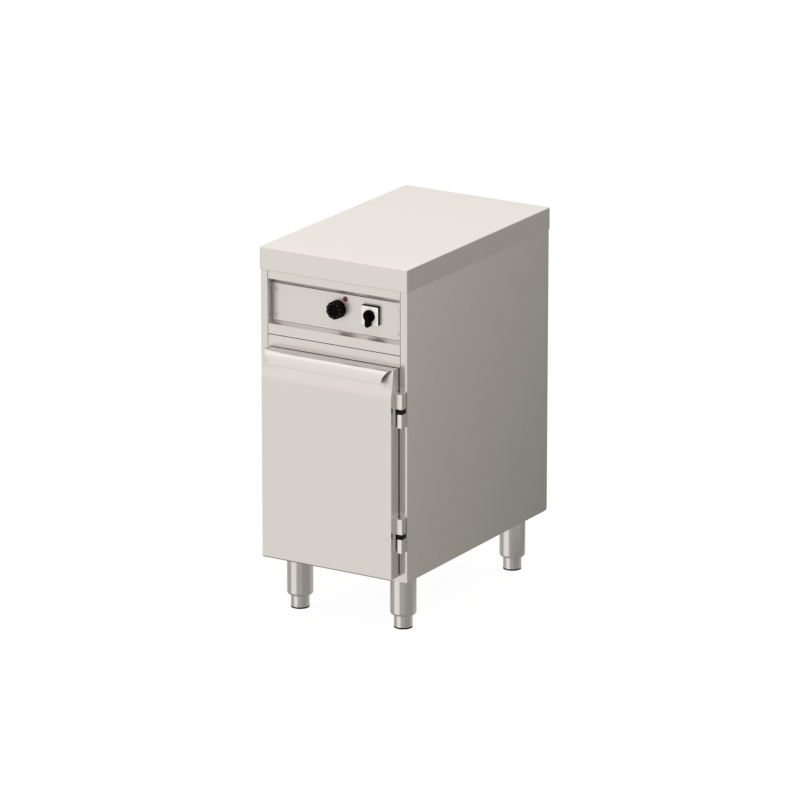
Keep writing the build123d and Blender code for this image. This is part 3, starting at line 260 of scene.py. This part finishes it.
finishes = {
    "steel_outer": brushed_steel("steel_outer", STEEL, 0.26),
    # The worktop's colour carries painted light and shade: a little lighter at the front and darker
    # at the back, and on its right faces darker towards the front.
    "steel_worktop": brushed_steel(
        "steel_worktop", STEEL, 0.26, "x", "y", painted_fade=(1.02, 0.955), painted_side_fade=(0.8, 0.98),
    ),
    "steel_fascia": brushed_steel("steel_fascia", STEEL, 0.26, "x", "y"),
    # The control plate's steel is lightened by 5% as painted light against the shade of its recess.
    "steel_control_painted_light": brushed_steel(
        "steel_control_painted_light", shade(STEEL, 1.05), 0.36, "x", "y", metallic=0.7,
    ),
    # The door's skin and its lip have their right faces lightened by about a quarter, as painted
    # light.
    "steel_door": brushed_steel(
        "steel_door", STEEL, 0.26, painted_fade=LEVEL, painted_side_fade=DOOR_SIDE_PAINTED_LIGHT, dulled=True,
    ),
    "steel_cap": brushed_steel(
        "steel_cap", STEEL, 0.26, "x", "y", painted_fade=LEVEL, painted_side_fade=DOOR_SIDE_PAINTED_LIGHT,
    ),
    # The door's foot fold is darkened to half as painted shade along the door's foot.
    "fold_painted_shade": brushed_steel("fold_painted_shade", shade(STEEL, 0.5), 0.45, "x", "y"),
    # The fascia strip's foot roll is darkened as painted shade along the strip's lower edge.
    "roll_painted_shade": brushed_steel("roll_painted_shade", shade(STEEL, 0.86), 0.3, "x", "y"),
    "steel_inner": brushed_steel("steel_inner", STEEL, 0.22),
    "steel_frame": brushed_steel("steel_frame", shade(STEEL, 0.92), 0.34),
    "steel_legs": brushed_steel("steel_legs", shade(STEEL, 1.05), 0.2),
    "steel_feet": brushed_steel("steel_feet", shade(STEEL, 1.05), 0.2),
    # The hinges are lightened by about a fifth, and their right faces darkened to two thirds, as
    # painted light and shade.
    "hinge_steel": brushed_steel(
        "hinge_steel", shade(STEEL, 1.22), 0.32, painted_fade=LEVEL, painted_side_fade=HINGE_SIDE_PAINTED_SHADE,
    ),
    "fastener_steel": brushed_steel("fastener_steel", shade(STEEL, 0.95), 0.3),
    "shelf_wire": brushed_steel("shelf_wire", shade(STEEL, 1.02), 0.16),
    "element_sheath": brushed_steel("element_sheath", shade(STEEL, 0.5), 0.42),
}


MOULD_CLOUD = 60.0
MOULD_TONES = (0.85, 1.15)
MOULD_POLISH = 0.06
MOULD_BUMP = 0.2
MOULD_DEPTH = 0.00005


def moulded(name, color, roughness, speck=900.0, gloss=0.5):
    """Moulded plastic or rubber with a fine spark-eroded surface."""
    shader = Shader(name, color, Roughness=roughness)
    shader.surface.inputs["Specular IOR Level"].default_value = gloss
    fine = shader.noise(shader.place(EVEN), scale=speck, detail=3.0)
    broad = shader.noise(shader.place(EVEN), scale=MOULD_CLOUD, detail=3.0)
    return shader.finish(
        color=shader.tint(broad, *(shade(color, level) for level in MOULD_TONES)),
        roughness=shader.span(fine, roughness - MOULD_POLISH, roughness + MOULD_POLISH),
        height=fine, strength=MOULD_BUMP, depth=MOULD_DEPTH,
    )


finishes.update({
    "knob_black": moulded("knob_black", (0.0012, 0.001, 0.001), 0.5, gloss=0.04),
    "switch_black": moulded("switch_black", (0.001, 0.001, 0.001), 0.5, gloss=0.04),
    "switch_legend": moulded("switch_legend", (0.86, 0.85, 0.83), 0.35),
    "lamp_red": moulded("lamp_red", (0.13, 0.002, 0.012), 0.3, gloss=0.3),
    "lamp_body": moulded("lamp_body", (0.05, 0.045, 0.04), 0.4),
    "ring_black": moulded("ring_black", (0.003, 0.003, 0.003), 0.5, gloss=0.12),
    "gasket_rubber": moulded("gasket_rubber", (0.06, 0.058, 0.055), 0.6),
    "pad_rubber": moulded("pad_rubber", (0.0015, 0.0015, 0.0015), 0.7, gloss=0.05),
    "mineral_wool": moulded("mineral_wool", (0.55, 0.47, 0.30), 0.95, speck=300.0),
    "thermostat_case": moulded("thermostat_case", (0.62, 0.6, 0.56), 0.4),
    "sensor_copper": moulded("sensor_copper", (0.65, 0.33, 0.2), 0.3),
    "terminal_plastic": moulded("terminal_plastic", (0.7, 0.68, 0.62), 0.5),
    "gland_plastic": moulded("gland_plastic", (0.03, 0.03, 0.03), 0.5),
    "print_grey": moulded("print_grey", (0.09, 0.09, 0.09), 0.5, gloss=0.2),
    # A grey bead under the worktop's skirt, whose tone is painted shade there.
    "seam_painted_shade": moulded("seam_painted_shade", (0.3, 0.285, 0.275), 0.6, gloss=0.2),
    # A pale bead at the control plate's foot, as painted light over the shade in that corner.
    "plate_foot_painted_light": moulded("plate_foot_painted_light", (0.93, 0.91, 0.88), 0.6, gloss=0.3),
    # Near-black beads in the fascia's joints, as painted shade in those gaps.
    "joint_painted_shade": moulded("joint_painted_shade", (0.012, 0.011, 0.01), 0.6, gloss=0.1),
})

# Nodes whose finish isn't their slot's own
NODE_FINISHES = {
    "worktop": "steel_worktop",
    "fascia_frame": "steel_fascia",
    "fascia_strip": "steel_fascia",
    "door_top_cap": "steel_cap",
    "door_front_skin": "steel_door",
    "control_plate": "steel_control_painted_light",
}

for name, node in nodes.items():
    for index, plain in enumerate(node.data.materials):
        node.data.materials[index] = finishes[NODE_FINISHES.get(name, plain.name)]


# Pieces, one function for each. Every length is in metres.


def add_piece(name, mesh, body, slot, finish=None, smooth=True):
    """Puts a mesh in the scene as a piece that rides on a body."""
    for polygon in mesh.polygons:
        polygon.use_smooth = smooth
    mesh.materials.clear()
    mesh.materials.append(finishes[finish or slot])
    piece = bpy.data.objects.new(name, mesh)
    bpy.context.scene.collection.objects.link(piece)
    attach(piece, body)
    return piece


def mesh_of(name, shape):
    """A mesh from a finished bmesh, which is then freed."""
    mesh = bpy.data.meshes.new(name)
    shape.to_mesh(mesh)
    shape.free()
    return mesh


def join_rings(shape, first, second):
    """A closed band of faces between two rings of points."""
    for n in range(len(first)):
        after = (n + 1) % len(first)
        shape.faces.new((first[n], first[after], second[after], second[n]))


def curve_mesh(curve):
    """The mesh of a curve or text, which is then removed."""
    holder = bpy.data.objects.new(curve.name, curve)
    bpy.context.scene.collection.objects.link(holder)
    solved = holder.evaluated_get(bpy.context.evaluated_depsgraph_get())
    mesh = bpy.data.meshes.new_from_object(solved)
    bpy.data.objects.remove(holder)
    return mesh


def bead_mesh(name, points, radius):
    """A round bead along straight runs."""
    curve = bpy.data.curves.new(name, "CURVE")
    curve.dimensions = "3D"
    curve.bevel_depth = radius
    curve.bevel_resolution = 3
    curve.use_fill_caps = True
    spline = curve.splines.new("POLY")
    spline.points.add(len(points) - 1)
    for point, place in zip(spline.points, points):
        point.co = (*place, 1)
    return curve_mesh(curve)


def text_mesh(name, words, size, height):
    """Raised lettering, centred on the origin, in the XY plane."""
    curve = bpy.data.curves.new(name, "FONT")
    curve.body = words
    curve.size = size
    curve.extrude = height
    curve.bevel_depth = height / 4
    curve.align_x = "CENTER"
    curve.align_y = "CENTER"
    return curve_mesh(curve)


SAME_POINT = 1e-7


def turned_mesh(name, profile, steps=32):
    """A profile of (radius, height) points turned about Z."""
    shape = bmesh.new()
    rings = []
    for radius, height in profile:
        turns = [tau * n / steps for n in range(steps)]
        rings.append([shape.verts.new((radius * cos(t), radius * sin(t), height)) for t in turns])
    for low, high in zip(rings, rings[1:]):
        join_rings(shape, low, high)
    bmesh.ops.remove_doubles(shape, verts=shape.verts, dist=SAME_POINT)
    bmesh.ops.recalc_face_normals(shape, faces=shape.faces)
    return mesh_of(name, shape)


def prisms(outline, runs):
    """Upright prisms on one outline of (x, y) points, one for each (foot, head) run."""
    shape = bmesh.new()
    for run in runs:
        foot, head = [[shape.verts.new((x, y, z)) for x, y in outline] for z in run]
        join_rings(shape, foot, head)
        shape.faces.new(foot)
        shape.faces.new(head)
    bmesh.ops.recalc_face_normals(shape, faces=shape.faces)
    return shape


def joined(name, parts):
    """One mesh from (mesh, matrix) pairs."""
    shape = bmesh.new()
    for part, matrix in parts:
        part.transform(matrix)
        shape.from_mesh(part)
    return mesh_of(name, shape)


def middle(node):
    """The middle of a node's box."""
    low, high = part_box(node)
    return (low + high) / 2


TO_FRONT = Matrix.Rotation(pi / 2, 4, "X")
TO_BACK = Matrix.Rotation(-pi / 2, 4, "X")

DIAL_MARKS = ("0", "30", "40", "50", "60", "70", "80", "90", "100", "110")
DIAL_RADIUS = 0.0163
DIAL_SIZE = 0.0042
PRINT_HEIGHT = 0.00012


def make_dial_marks():
    """Raised figures round the knob's face, one to each lobe."""
    low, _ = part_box("thermostat_knob")
    centre = middle("thermostat_knob")
    parts = []
    for n, words in enumerate(DIAL_MARKS):
        turn = tau * n / len(DIAL_MARKS)
        place = Matrix.Translation((centre.x, low.y, centre.z))
        place @= Matrix.Rotation(turn, 4, "Y") @ Matrix.Translation((0, 0, DIAL_RADIUS)) @ TO_FRONT
        parts.append((text_mesh("figure", words, DIAL_SIZE, PRINT_HEIGHT), place))
    figures = joined("dial_figures", parts)
    add_piece("dial_figures", figures, "knob", "knob_black", "print_grey", smooth=False)


SWITCH_FIGURE = 0.0062
SWITCH_FIGURE_OUT = 0.0182
SWITCH_DOT = 0.0007
SWITCH_DOT_TOP = 0.8
SWITCH_DOT_STEPS = 12


def make_switch_marks():
    """The figures 0 and 1 on the switch's plate, and dots at its other two clicks."""
    low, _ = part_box("switch_plate")
    handle_low, handle_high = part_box("switch_handle")
    x = (handle_low.x + handle_high.x) / 2
    z = handle_high.z - (handle_high.x - handle_low.x) / 2
    parts = []
    for words, out, up in (("0", 0, -SWITCH_FIGURE_OUT), ("1", -SWITCH_FIGURE_OUT, 0)):
        place = Matrix.Translation((x + out, low.y, z + up)) @ TO_FRONT
        parts.append((text_mesh("figure", words, SWITCH_FIGURE, PRINT_HEIGHT), place))
    dot = [(0, PRINT_HEIGHT), (SWITCH_DOT * SWITCH_DOT_TOP, PRINT_HEIGHT), (SWITCH_DOT, 0)]
    for out, up in ((0, SWITCH_FIGURE_OUT), (SWITCH_FIGURE_OUT, 0)):
        place = Matrix.Translation((x + out, low.y, z + up)) @ TO_FRONT
        parts.append((turned_mesh("dot", dot, SWITCH_DOT_STEPS), place))
    figures = joined("switch_figures", parts)
    add_piece("switch_figures", figures, "cabinet", "switch_legend", "print_grey", smooth=False)


# The bezel's section, as (out from the lens, ahead of the plate) points
BEZEL_PROFILE = ((0, 0.0014), (0.0004, 0.0018), (0.0009, 0.0013), (0.0011, 0))


def make_lamp_bezel():
    """The thin bright ring that holds the lamp's lens to the plate."""
    low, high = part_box("pilot_lamp_lens")
    centre = middle("pilot_lamp_lens")
    inner = (high.x - low.x) / 2
    ring = turned_mesh("ring", [(inner + out, ahead) for out, ahead in BEZEL_PROFILE])
    place = Matrix.Translation((centre.x, high.y, centre.z)) @ TO_FRONT
    bezel = joined("lamp_bezel", [(ring, place)])
    add_piece("lamp_bezel", bezel, "cabinet", "lamp_body", "fastener_steel")


SEAM_RADIUS = 0.0008
SEAM_BACK_INSET = 0.02


def make_skirt_seam():
    """A grey bead in the corner under the worktop's skirt, round the front and the sides, as
    painted shade under the skirt.
    """
    low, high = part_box("worktop")
    body_low, body_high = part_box("side_panel_right")
    x, y, z = body_high.x, body_low.y, low.z - SEAM_RADIUS / 2
    back = high.y - SEAM_BACK_INSET
    points = [(-x, back, z), (-x, y, z), (x, y, z), (x, back, z)]
    bead = bead_mesh("skirt_seam", points, SEAM_RADIUS)
    add_piece("skirt_seam", bead, "cabinet", "steel_frame", "seam_painted_shade")


# The joints: how far they are sunk, above the strip, aside of the frame, short of the skirt, and
# how far the right one runs on past the strip
JOINT_RADIUS = 0.0007
JOINT_INSET = 0.0002
JOINT_RISE = 0.00015
JOINT_ASIDE = 0.0006
JOINT_HEAD_GAP = 0.0005
JOINT_OVERRUN = 0.004


def make_fascia_joints():
    """Near-black beads in the fascia's joints, as painted shade in the gaps: above the strip, down
    the left side, and right of the strip.
    """
    frame_low, frame_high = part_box("fascia_frame")
    low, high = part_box("fascia_strip")
    plate_low, plate_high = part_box("control_plate")
    skirt_low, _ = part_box("worktop")
    y = low.y + JOINT_INSET
    joint_z = high.z + JOINT_RISE
    left = frame_low.x - JOINT_ASIDE
    right = frame_high.x + JOINT_ASIDE
    runs = [
        [(frame_low.x, y, joint_z), (frame_high.x, y, joint_z)],
        [(left, y, low.z), (left, y, plate_low.z)],
        [(left, y, plate_high.z), (left, y, skirt_low.z - JOINT_HEAD_GAP)],
        [(right, y, low.z), (right, y, high.z + JOINT_OVERRUN)],
    ]
    parts = [(bead_mesh("joint", run, JOINT_RADIUS), Matrix()) for run in runs]
    joints = joined("fascia_joints", parts)
    add_piece("fascia_joints", joints, "cabinet", "gasket_rubber", "joint_painted_shade")


FOOT_BEAD_RADIUS = 0.0008
LIGHT_BEAD_AHEAD = 0.0003
LIGHT_BEAD_RISE = 0.0002
ROLL_AHEAD = 0.0005
ROLL_RISE = -0.0003


def make_foot_bead(node, name, ahead, rise, finish):
    """A bead along the lower edge of a fascia sheet, a little ahead of it, in a finish given by the
    caller: pale painted light at the control plate, darker painted shade under the strip.
    """
    low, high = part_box(node)
    y, z = low.y - ahead, low.z + rise
    bead = bead_mesh(name, [(low.x, y, z), (high.x, y, z)], FOOT_BEAD_RADIUS)
    add_piece(name, bead, "cabinet", "steel_outer", finish)


# The lip's lower edge ends at the scoops of the CAD
HEM_RADIUS = 0.0006
HEM_HALF = 0.153
HEM_HEIGHT = 0.6229


def make_lip_hem():
    """The rolled lower edge of the door's lip, between its two scoops."""
    low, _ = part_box("door_top_cap")
    points = [(x, low.y + HEM_RADIUS, HEM_HEIGHT) for x in (-HEM_HALF, HEM_HALF)]
    bead = bead_mesh("lip_hem", points, HEM_RADIUS)
    add_piece("lip_hem", bead, "door", "steel_outer", "steel_fascia")


# The height of one hinge, of the two that share a node
HINGE_HEIGHT = 0.0805

# The edge's section, how far it stands off the panel's foot, and its gap to each hinge
EDGE_WIDTH = 0.0046
EDGE_RISE = 0.0008
EDGE_FALL = 0.00015
EDGE_BACK = 0.0002
EDGE_INSET = 0.0001
EDGE_FOOT = 0.012
EDGE_CLEAR = 0.002


def make_post_edge():
    """The folded edge of the side panel down the right post, which stops at each hinge."""
    low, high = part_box("side_panel_right")
    hinge_low, hinge_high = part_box("hinge_leaves")
    skirt_low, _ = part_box("worktop")
    right = high.x - EDGE_INSET
    left = right - EDGE_WIDTH
    front, back = low.y, low.y + EDGE_BACK
    outline = [(left, back), (left, front - EDGE_RISE), (right, front - EDGE_FALL), (right, back)]
    reach = HINGE_HEIGHT + EDGE_CLEAR
    runs = [
        (low.z + EDGE_FOOT, hinge_low.z - EDGE_CLEAR),
        (hinge_low.z + reach, hinge_high.z - reach),
        (hinge_high.z + EDGE_CLEAR, skirt_low.z),
    ]
    mesh = mesh_of("post_edge", prisms(outline, runs))
    add_piece("post_edge", mesh, "cabinet", "steel_outer", smooth=False)


# The shim's place, up to the inner face of the hinge's fixed block, and its rise and height
SHIM_X = (0.1812, 0.1845)
SHIM_Y = (-0.32, -0.309)
SHIM_RISE = 0.001
SHIM_HEIGHT = 0.029
SHIM_BEVEL = 0.0004


def make_hinge_shims():
    """A packing plate on the inner face of each hinge's fixed block, with its edges eased."""
    low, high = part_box("hinge_leaves")
    (left, right), (front, back) = SHIM_X, SHIM_Y
    outline = [(left, front), (right, front), (right, back), (left, back)]
    feet = [foot + SHIM_RISE for foot in (low.z, high.z - HINGE_HEIGHT)]
    shape = prisms(outline, [(foot, foot + SHIM_HEIGHT) for foot in feet])
    bmesh.ops.bevel(
        shape, geom=shape.edges[:], offset=SHIM_BEVEL, segments=2, affect="EDGES",
    )
    mesh = mesh_of("hinge_shims", shape)
    add_piece("hinge_shims", mesh, "cabinet", "hinge_steel", smooth=False)


FOLD_RADIUS = 0.0018
FOLD_PROUD = 0.0006


def make_door_fold():
    """The rolled edge along the foot of the door's front, darkened as painted shade along the
    door's foot.
    """
    low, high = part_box("door_front_skin")
    y, z = low.y + FOLD_RADIUS - FOLD_PROUD, low.z
    points = [(low.x + FOLD_RADIUS, y, z), (high.x - FOLD_RADIUS, y, z)]
    bead = bead_mesh("door_foot_fold", points, FOLD_RADIUS)
    add_piece("door_foot_fold", bead, "door", "steel_outer", "fold_painted_shade")


# The seal's section, as (across, out) points
GASKET_BAND = 0.0085
GASKET_DEPTH = 0.0027
GASKET_PROFILE = (
    (0.0, 0.0), (0.0, 0.0007), (0.0006, 0.0011), (0.0011, 0.002), (0.0019, 0.0025),
    (0.003, GASKET_DEPTH), (0.0041, 0.0025), (0.0047, 0.0019), (0.0051, 0.0012), (0.0057, 0.0011),
    (0.0063, 0.0018), (0.0071, 0.0021), (0.0079, 0.0017), (0.0083, 0.0009), (GASKET_BAND, 0.0),
)


def make_gasket():
    """The door seal: a magnet tube and a small outer lip, mitred at the corners."""
    low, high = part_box("door_gasket")
    stretch = (high.y - low.y) / GASKET_DEPTH
    shape = bmesh.new()
    loops = []
    for across, out in GASKET_PROFILE:
        inset = GASKET_BAND - across
        y = low.y + out * stretch
        left, right = low.x + inset, high.x - inset
        foot, head = low.z + inset, high.z - inset
        corners = [(left, foot), (right, foot), (right, head), (left, head)]
        loops.append([shape.verts.new((x, y, z)) for x, z in corners])
    for inner, outer in zip(loops, loops[1:]):
        join_rings(shape, inner, outer)
    bmesh.ops.recalc_face_normals(shape, faces=shape.faces)
    piece = add_piece("gasket_profile", mesh_of("gasket_profile", shape), "door", "gasket_rubber")
    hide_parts("door_gasket")


# A screw's head, as (radius, height) points, and its places on the back panel and the inner pan
SCREW_PROFILE = (
    (0.0, 0.0004), (0.0011, 0.0004), (0.0012, 0.0016), (0.0019, 0.0017), (0.0029, 0.0012),
    (0.0035, 0.0004), (0.0036, 0.0),
)
SCREW_STEPS = 24
BACK_SCREW_ROWS = 6
BACK_SCREW_INSET = 0.009
PAN_SCREW_ROWS = 4
PAN_SCREW_INSET = 0.006
PAN_SCREW_END = 0.03
PAN_SCREW_SCALE = (0.6, 0.6, 0.5, 1)


def screw_rows(node, rows, inset, end, scale=(1, 1, 1, 1)):
    """Socket pan-head screws down both sides of a panel's back, as (mesh, matrix) pairs."""
    low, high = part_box(node)
    parts = []
    for n in range(rows):
        z = low.z + end + (high.z - low.z - 2 * end) * n / (rows - 1)
        for x in (low.x + inset, high.x - inset):
            place = Matrix.Translation((x, high.y, z)) @ TO_BACK @ Matrix.Diagonal(scale)
            parts.append((turned_mesh("screw", SCREW_PROFILE, SCREW_STEPS), place))
    return parts


def make_back_screws():
    """The screws that hold the back panel."""
    screws = screw_rows("back_panel", BACK_SCREW_ROWS, BACK_SCREW_INSET, BACK_SCREW_INSET)
    add_piece("back_panel_screws", joined("back_panel_screws", screws), "cabinet", "fastener_steel")


def make_pan_screws():
    """The smaller screws that hold the door's inner pan."""
    screws = screw_rows(
        "door_inner_pan", PAN_SCREW_ROWS, PAN_SCREW_INSET, PAN_SCREW_END, PAN_SCREW_SCALE,
    )
    add_piece("pan_screws", joined("pan_screws", screws), "door", "fastener_steel")


GLAND_RIBS = 20
RIB_PROFILE = ((0, 0), (0.0006, 0.0004), (0.0006, 0.0086), (0, 0.009))
RIB_STEPS = 8
RIB_RISE = 0.001
RIB_OUT = 0.011


def make_gland_ribs():
    """The grip ribs round the gland's cap nut."""
    low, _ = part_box("cable_gland")
    centre = middle("cable_gland")
    foot = Matrix.Translation((centre.x, centre.y, low.z + RIB_RISE))
    out = Matrix.Translation((RIB_OUT, 0, 0))
    parts = []
    for n in range(GLAND_RIBS):
        turn = Matrix.Rotation(tau * n / GLAND_RIBS, 4, "Z")
        parts.append((turned_mesh("rib", RIB_PROFILE, RIB_STEPS), foot @ turn @ out))
    add_piece("gland_ribs", joined("gland_ribs", parts), "cabinet", "gland_plastic")


make_dial_marks()
make_switch_marks()
make_lamp_bezel()
make_skirt_seam()
make_fascia_joints()
# The control plate's pale bead is painted light over the shade at its foot, and the strip's darker
# roll is painted shade along its lower edge.
make_foot_bead("control_plate", "control_plate_painted_light", LIGHT_BEAD_AHEAD, LIGHT_BEAD_RISE, "plate_foot_painted_light")
make_foot_bead("fascia_strip", "strip_foot_roll", ROLL_AHEAD, ROLL_RISE, "roll_painted_shade")
make_lip_hem()
make_post_edge()
make_hinge_shims()
make_door_fold()
make_gasket()
make_back_screws()
make_pan_screws()
make_gland_ribs()


# Surroundings


FLOOR_HALF = 9.0
FLOOR_COLOR = (0.86, 0.855, 0.845)
FLOOR_SHADOW_SHARE = 0.07
WHITE = 1.03
LIGHT_TINT = (1.0, 0.966, 0.922)
RIGHT_TINT = (1.0, 0.965, 0.885)

# How bright steel sees the floor to the right of the cabinet: at the middle of the model, per
# metre to the right and to the back, and at least and at most. It comes in between two
# distances to the right and two to the back. Elsewhere steel sees the studio through the floor.
RIGHT_LEVEL = 0.325
RIGHT_ASIDE = 0.365
RIGHT_BACK = -0.188
RIGHT_LEAST = 0.33
RIGHT_MOST = 0.95
RIGHT_EDGE = (0.16, 0.3)
RIGHT_FRONT = (-0.15, 0.05)


def make_floor():
    """A plain pale floor, white to the camera, that keeps a soft shadow of the cabinet."""
    mesh = bpy.data.meshes.new("floor")
    corners = [(-1, -1), (1, -1), (1, 1), (-1, 1)]
    mesh.from_pydata([(x * FLOOR_HALF, y * FLOOR_HALF, 0) for x, y in corners], [], [(0, 1, 2, 3)])
    floor = bpy.data.objects.new("floor", mesh)
    bpy.context.scene.collection.objects.link(floor)
    shader = Shader("floor_pale", FLOOR_COLOR, Roughness=0.9)
    path = shader.add("ShaderNodeLightPath").outputs
    across, back, _ = shader.axes(shader.coordinates())
    level = shader.math("ADD", shader.math("MULTIPLY", across, RIGHT_ASIDE), RIGHT_LEVEL)
    level = shader.math("ADD", level, shader.math("MULTIPLY", back, RIGHT_BACK))
    level = shader.math("MINIMUM", shader.math("MAXIMUM", level, RIGHT_LEAST), RIGHT_MOST)
    right = shader.add("ShaderNodeEmission", [("Color", (*RIGHT_TINT, 1)), ("Strength", level)])
    clear = shader.add("ShaderNodeBsdfTransparent")
    edge = shader.span(across, 0, 1, *RIGHT_EDGE)
    share = shader.math("MULTIPLY", edge, shader.span(back, 0, 1, *RIGHT_FRONT))
    white = shader.add("ShaderNodeEmission", [("Strength", WHITE)])
    plain = shader.surface.outputs[0]

    def layer(factor, first, second):
        """Mixes two shaders by a factor."""
        return shader.add("ShaderNodeMixShader", [(0, factor), (1, first), (2, second)]).outputs[0]

    sweep = layer(share, clear.outputs[0], right.outputs[0])
    soft = layer(1 - FLOOR_SHADOW_SHARE, plain, white.outputs[0])
    mirrored = shader.math("MAXIMUM", path["Is Glossy Ray"], path["Is Transmission Ray"])
    seen = layer(mirrored, plain, sweep)
    final = layer(path["Is Camera Ray"], seen, soft)
    shader.set(shader.tree.nodes["Material Output"].inputs["Surface"], final)
    mesh.materials.append(shader.material)


# Brightness of the studio by height, from straight down to straight up, in five directions.
# Turns, in degrees round Z, are where one gives way to the next: zero is the front, and
# positive is to the left.
SKY_HEIGHTS = (-1.0, -0.55, -0.42, -0.29, 0.0, 0.3, 0.8, 1.0)
SKY_FRONT = (0.42, 0.62, 1.08, 1.14, 1.22, 1.22, 1.6, 1.5)
SKY_ASIDE = (0.4, 0.42, 0.5, 0.54, 0.62, 0.9, 1.42, 1.42)
SKY_RIGHT = (0.4, 0.4, 0.4, 0.4, 0.5, 0.85, 1.3, 1.42)
SKY_BACK = (0.5, 0.6, 0.7, 0.8, 1.0, 1.22, 1.42, 1.42)
SKY_BACK_RIGHT = (0.4, 0.45, 0.56, 0.58, 0.6, 0.9, 1.3, 1.42)
SKY_WINDOW_RIGHT = (-4, 6)
SKY_WINDOW_LEFT = (58, 46)
SKY_BACK_TURN = (95, 125)
SKY_RIGHT_TURN = (-35, -60)
SKY_BACK_RIGHT_TURN = (-122, -132)
SKY_MOST = 2.0


def make_world():
    """A plain studio with its bright screen to the front left. It is white to the camera."""
    world = bpy.data.worlds.new("studio")
    bpy.context.scene.world = world
    studio = Nodes(world)
    x, y, z = studio.axes(studio.coordinates("Generated"))
    left, front = (studio.math("MULTIPLY", axis, -1) for axis in (x, y))
    rise = studio.span(z, 0, 1, -1, 1)
    turn = studio.math("ARCTAN2", left, front)

    def column(levels):
        """Brightness by height, as a curve through the levels."""
        node = studio.add("ShaderNodeFloatCurve", [("Value", rise)])
        points = node.mapping.curves[0].points
        while len(points) < len(levels):
            points.new(0.5, 0.5)
        for point, height, level in zip(points, SKY_HEIGHTS, levels):
            point.location = ((height + 1) / 2, level / SKY_MOST)
        node.mapping.update()
        return studio.math("MULTIPLY", node.outputs[0], SKY_MOST)

    def past(start, end):
        """How far the direction has turned from the start to the end, from 0 to 1."""
        return studio.span(turn, 0, 1, radians(start), radians(end))

    window = studio.math("MULTIPLY", past(*SKY_WINDOW_RIGHT), past(*SKY_WINDOW_LEFT))
    level = studio.mix(window, column(SKY_ASIDE), column(SKY_FRONT))
    for turns, levels in (
        (SKY_BACK_TURN, SKY_BACK), (SKY_RIGHT_TURN, SKY_RIGHT),
        (SKY_BACK_RIGHT_TURN, SKY_BACK_RIGHT),
    ):
        level = studio.mix(past(*turns), level, column(levels))
    is_camera = studio.add("ShaderNodeLightPath").outputs["Is Camera Ray"]
    background = studio.tree.nodes["Background"].inputs
    studio.set(background["Strength"], studio.mix(is_camera, level, WHITE))
    studio.set(background["Color"], studio.tint(is_camera, LIGHT_TINT, (1, 1, 1)))


def make_camera():
    """The camera at the photograph's viewing angle."""
    data = bpy.data.cameras.new("camera")
    data.lens = CAMERA_LENS
    data.sensor_width = CAMERA_SENSOR
    data.clip_end = CAMERA_FAR
    camera = bpy.data.objects.new("camera", data)
    bpy.context.scene.collection.objects.link(camera)
    back = Vector((
        sin(CAMERA_YAW) * cos(CAMERA_PITCH), -cos(CAMERA_YAW) * cos(CAMERA_PITCH), sin(CAMERA_PITCH)
    ))
    right = Vector((cos(CAMERA_YAW), sin(CAMERA_YAW), 0))
    up = back.cross(right)
    turn = Matrix((right, up, back)).transposed().to_4x4()
    place = CAMERA_TARGET + CAMERA_ASIDE * right + CAMERA_RISE * up + CAMERA_DISTANCE * back
    camera.matrix_world = Matrix.Translation(place) @ turn
    bpy.context.scene.camera = camera


make_floor()
make_world()
make_camera()
bpy.context.scene.view_settings.view_transform = "Standard"
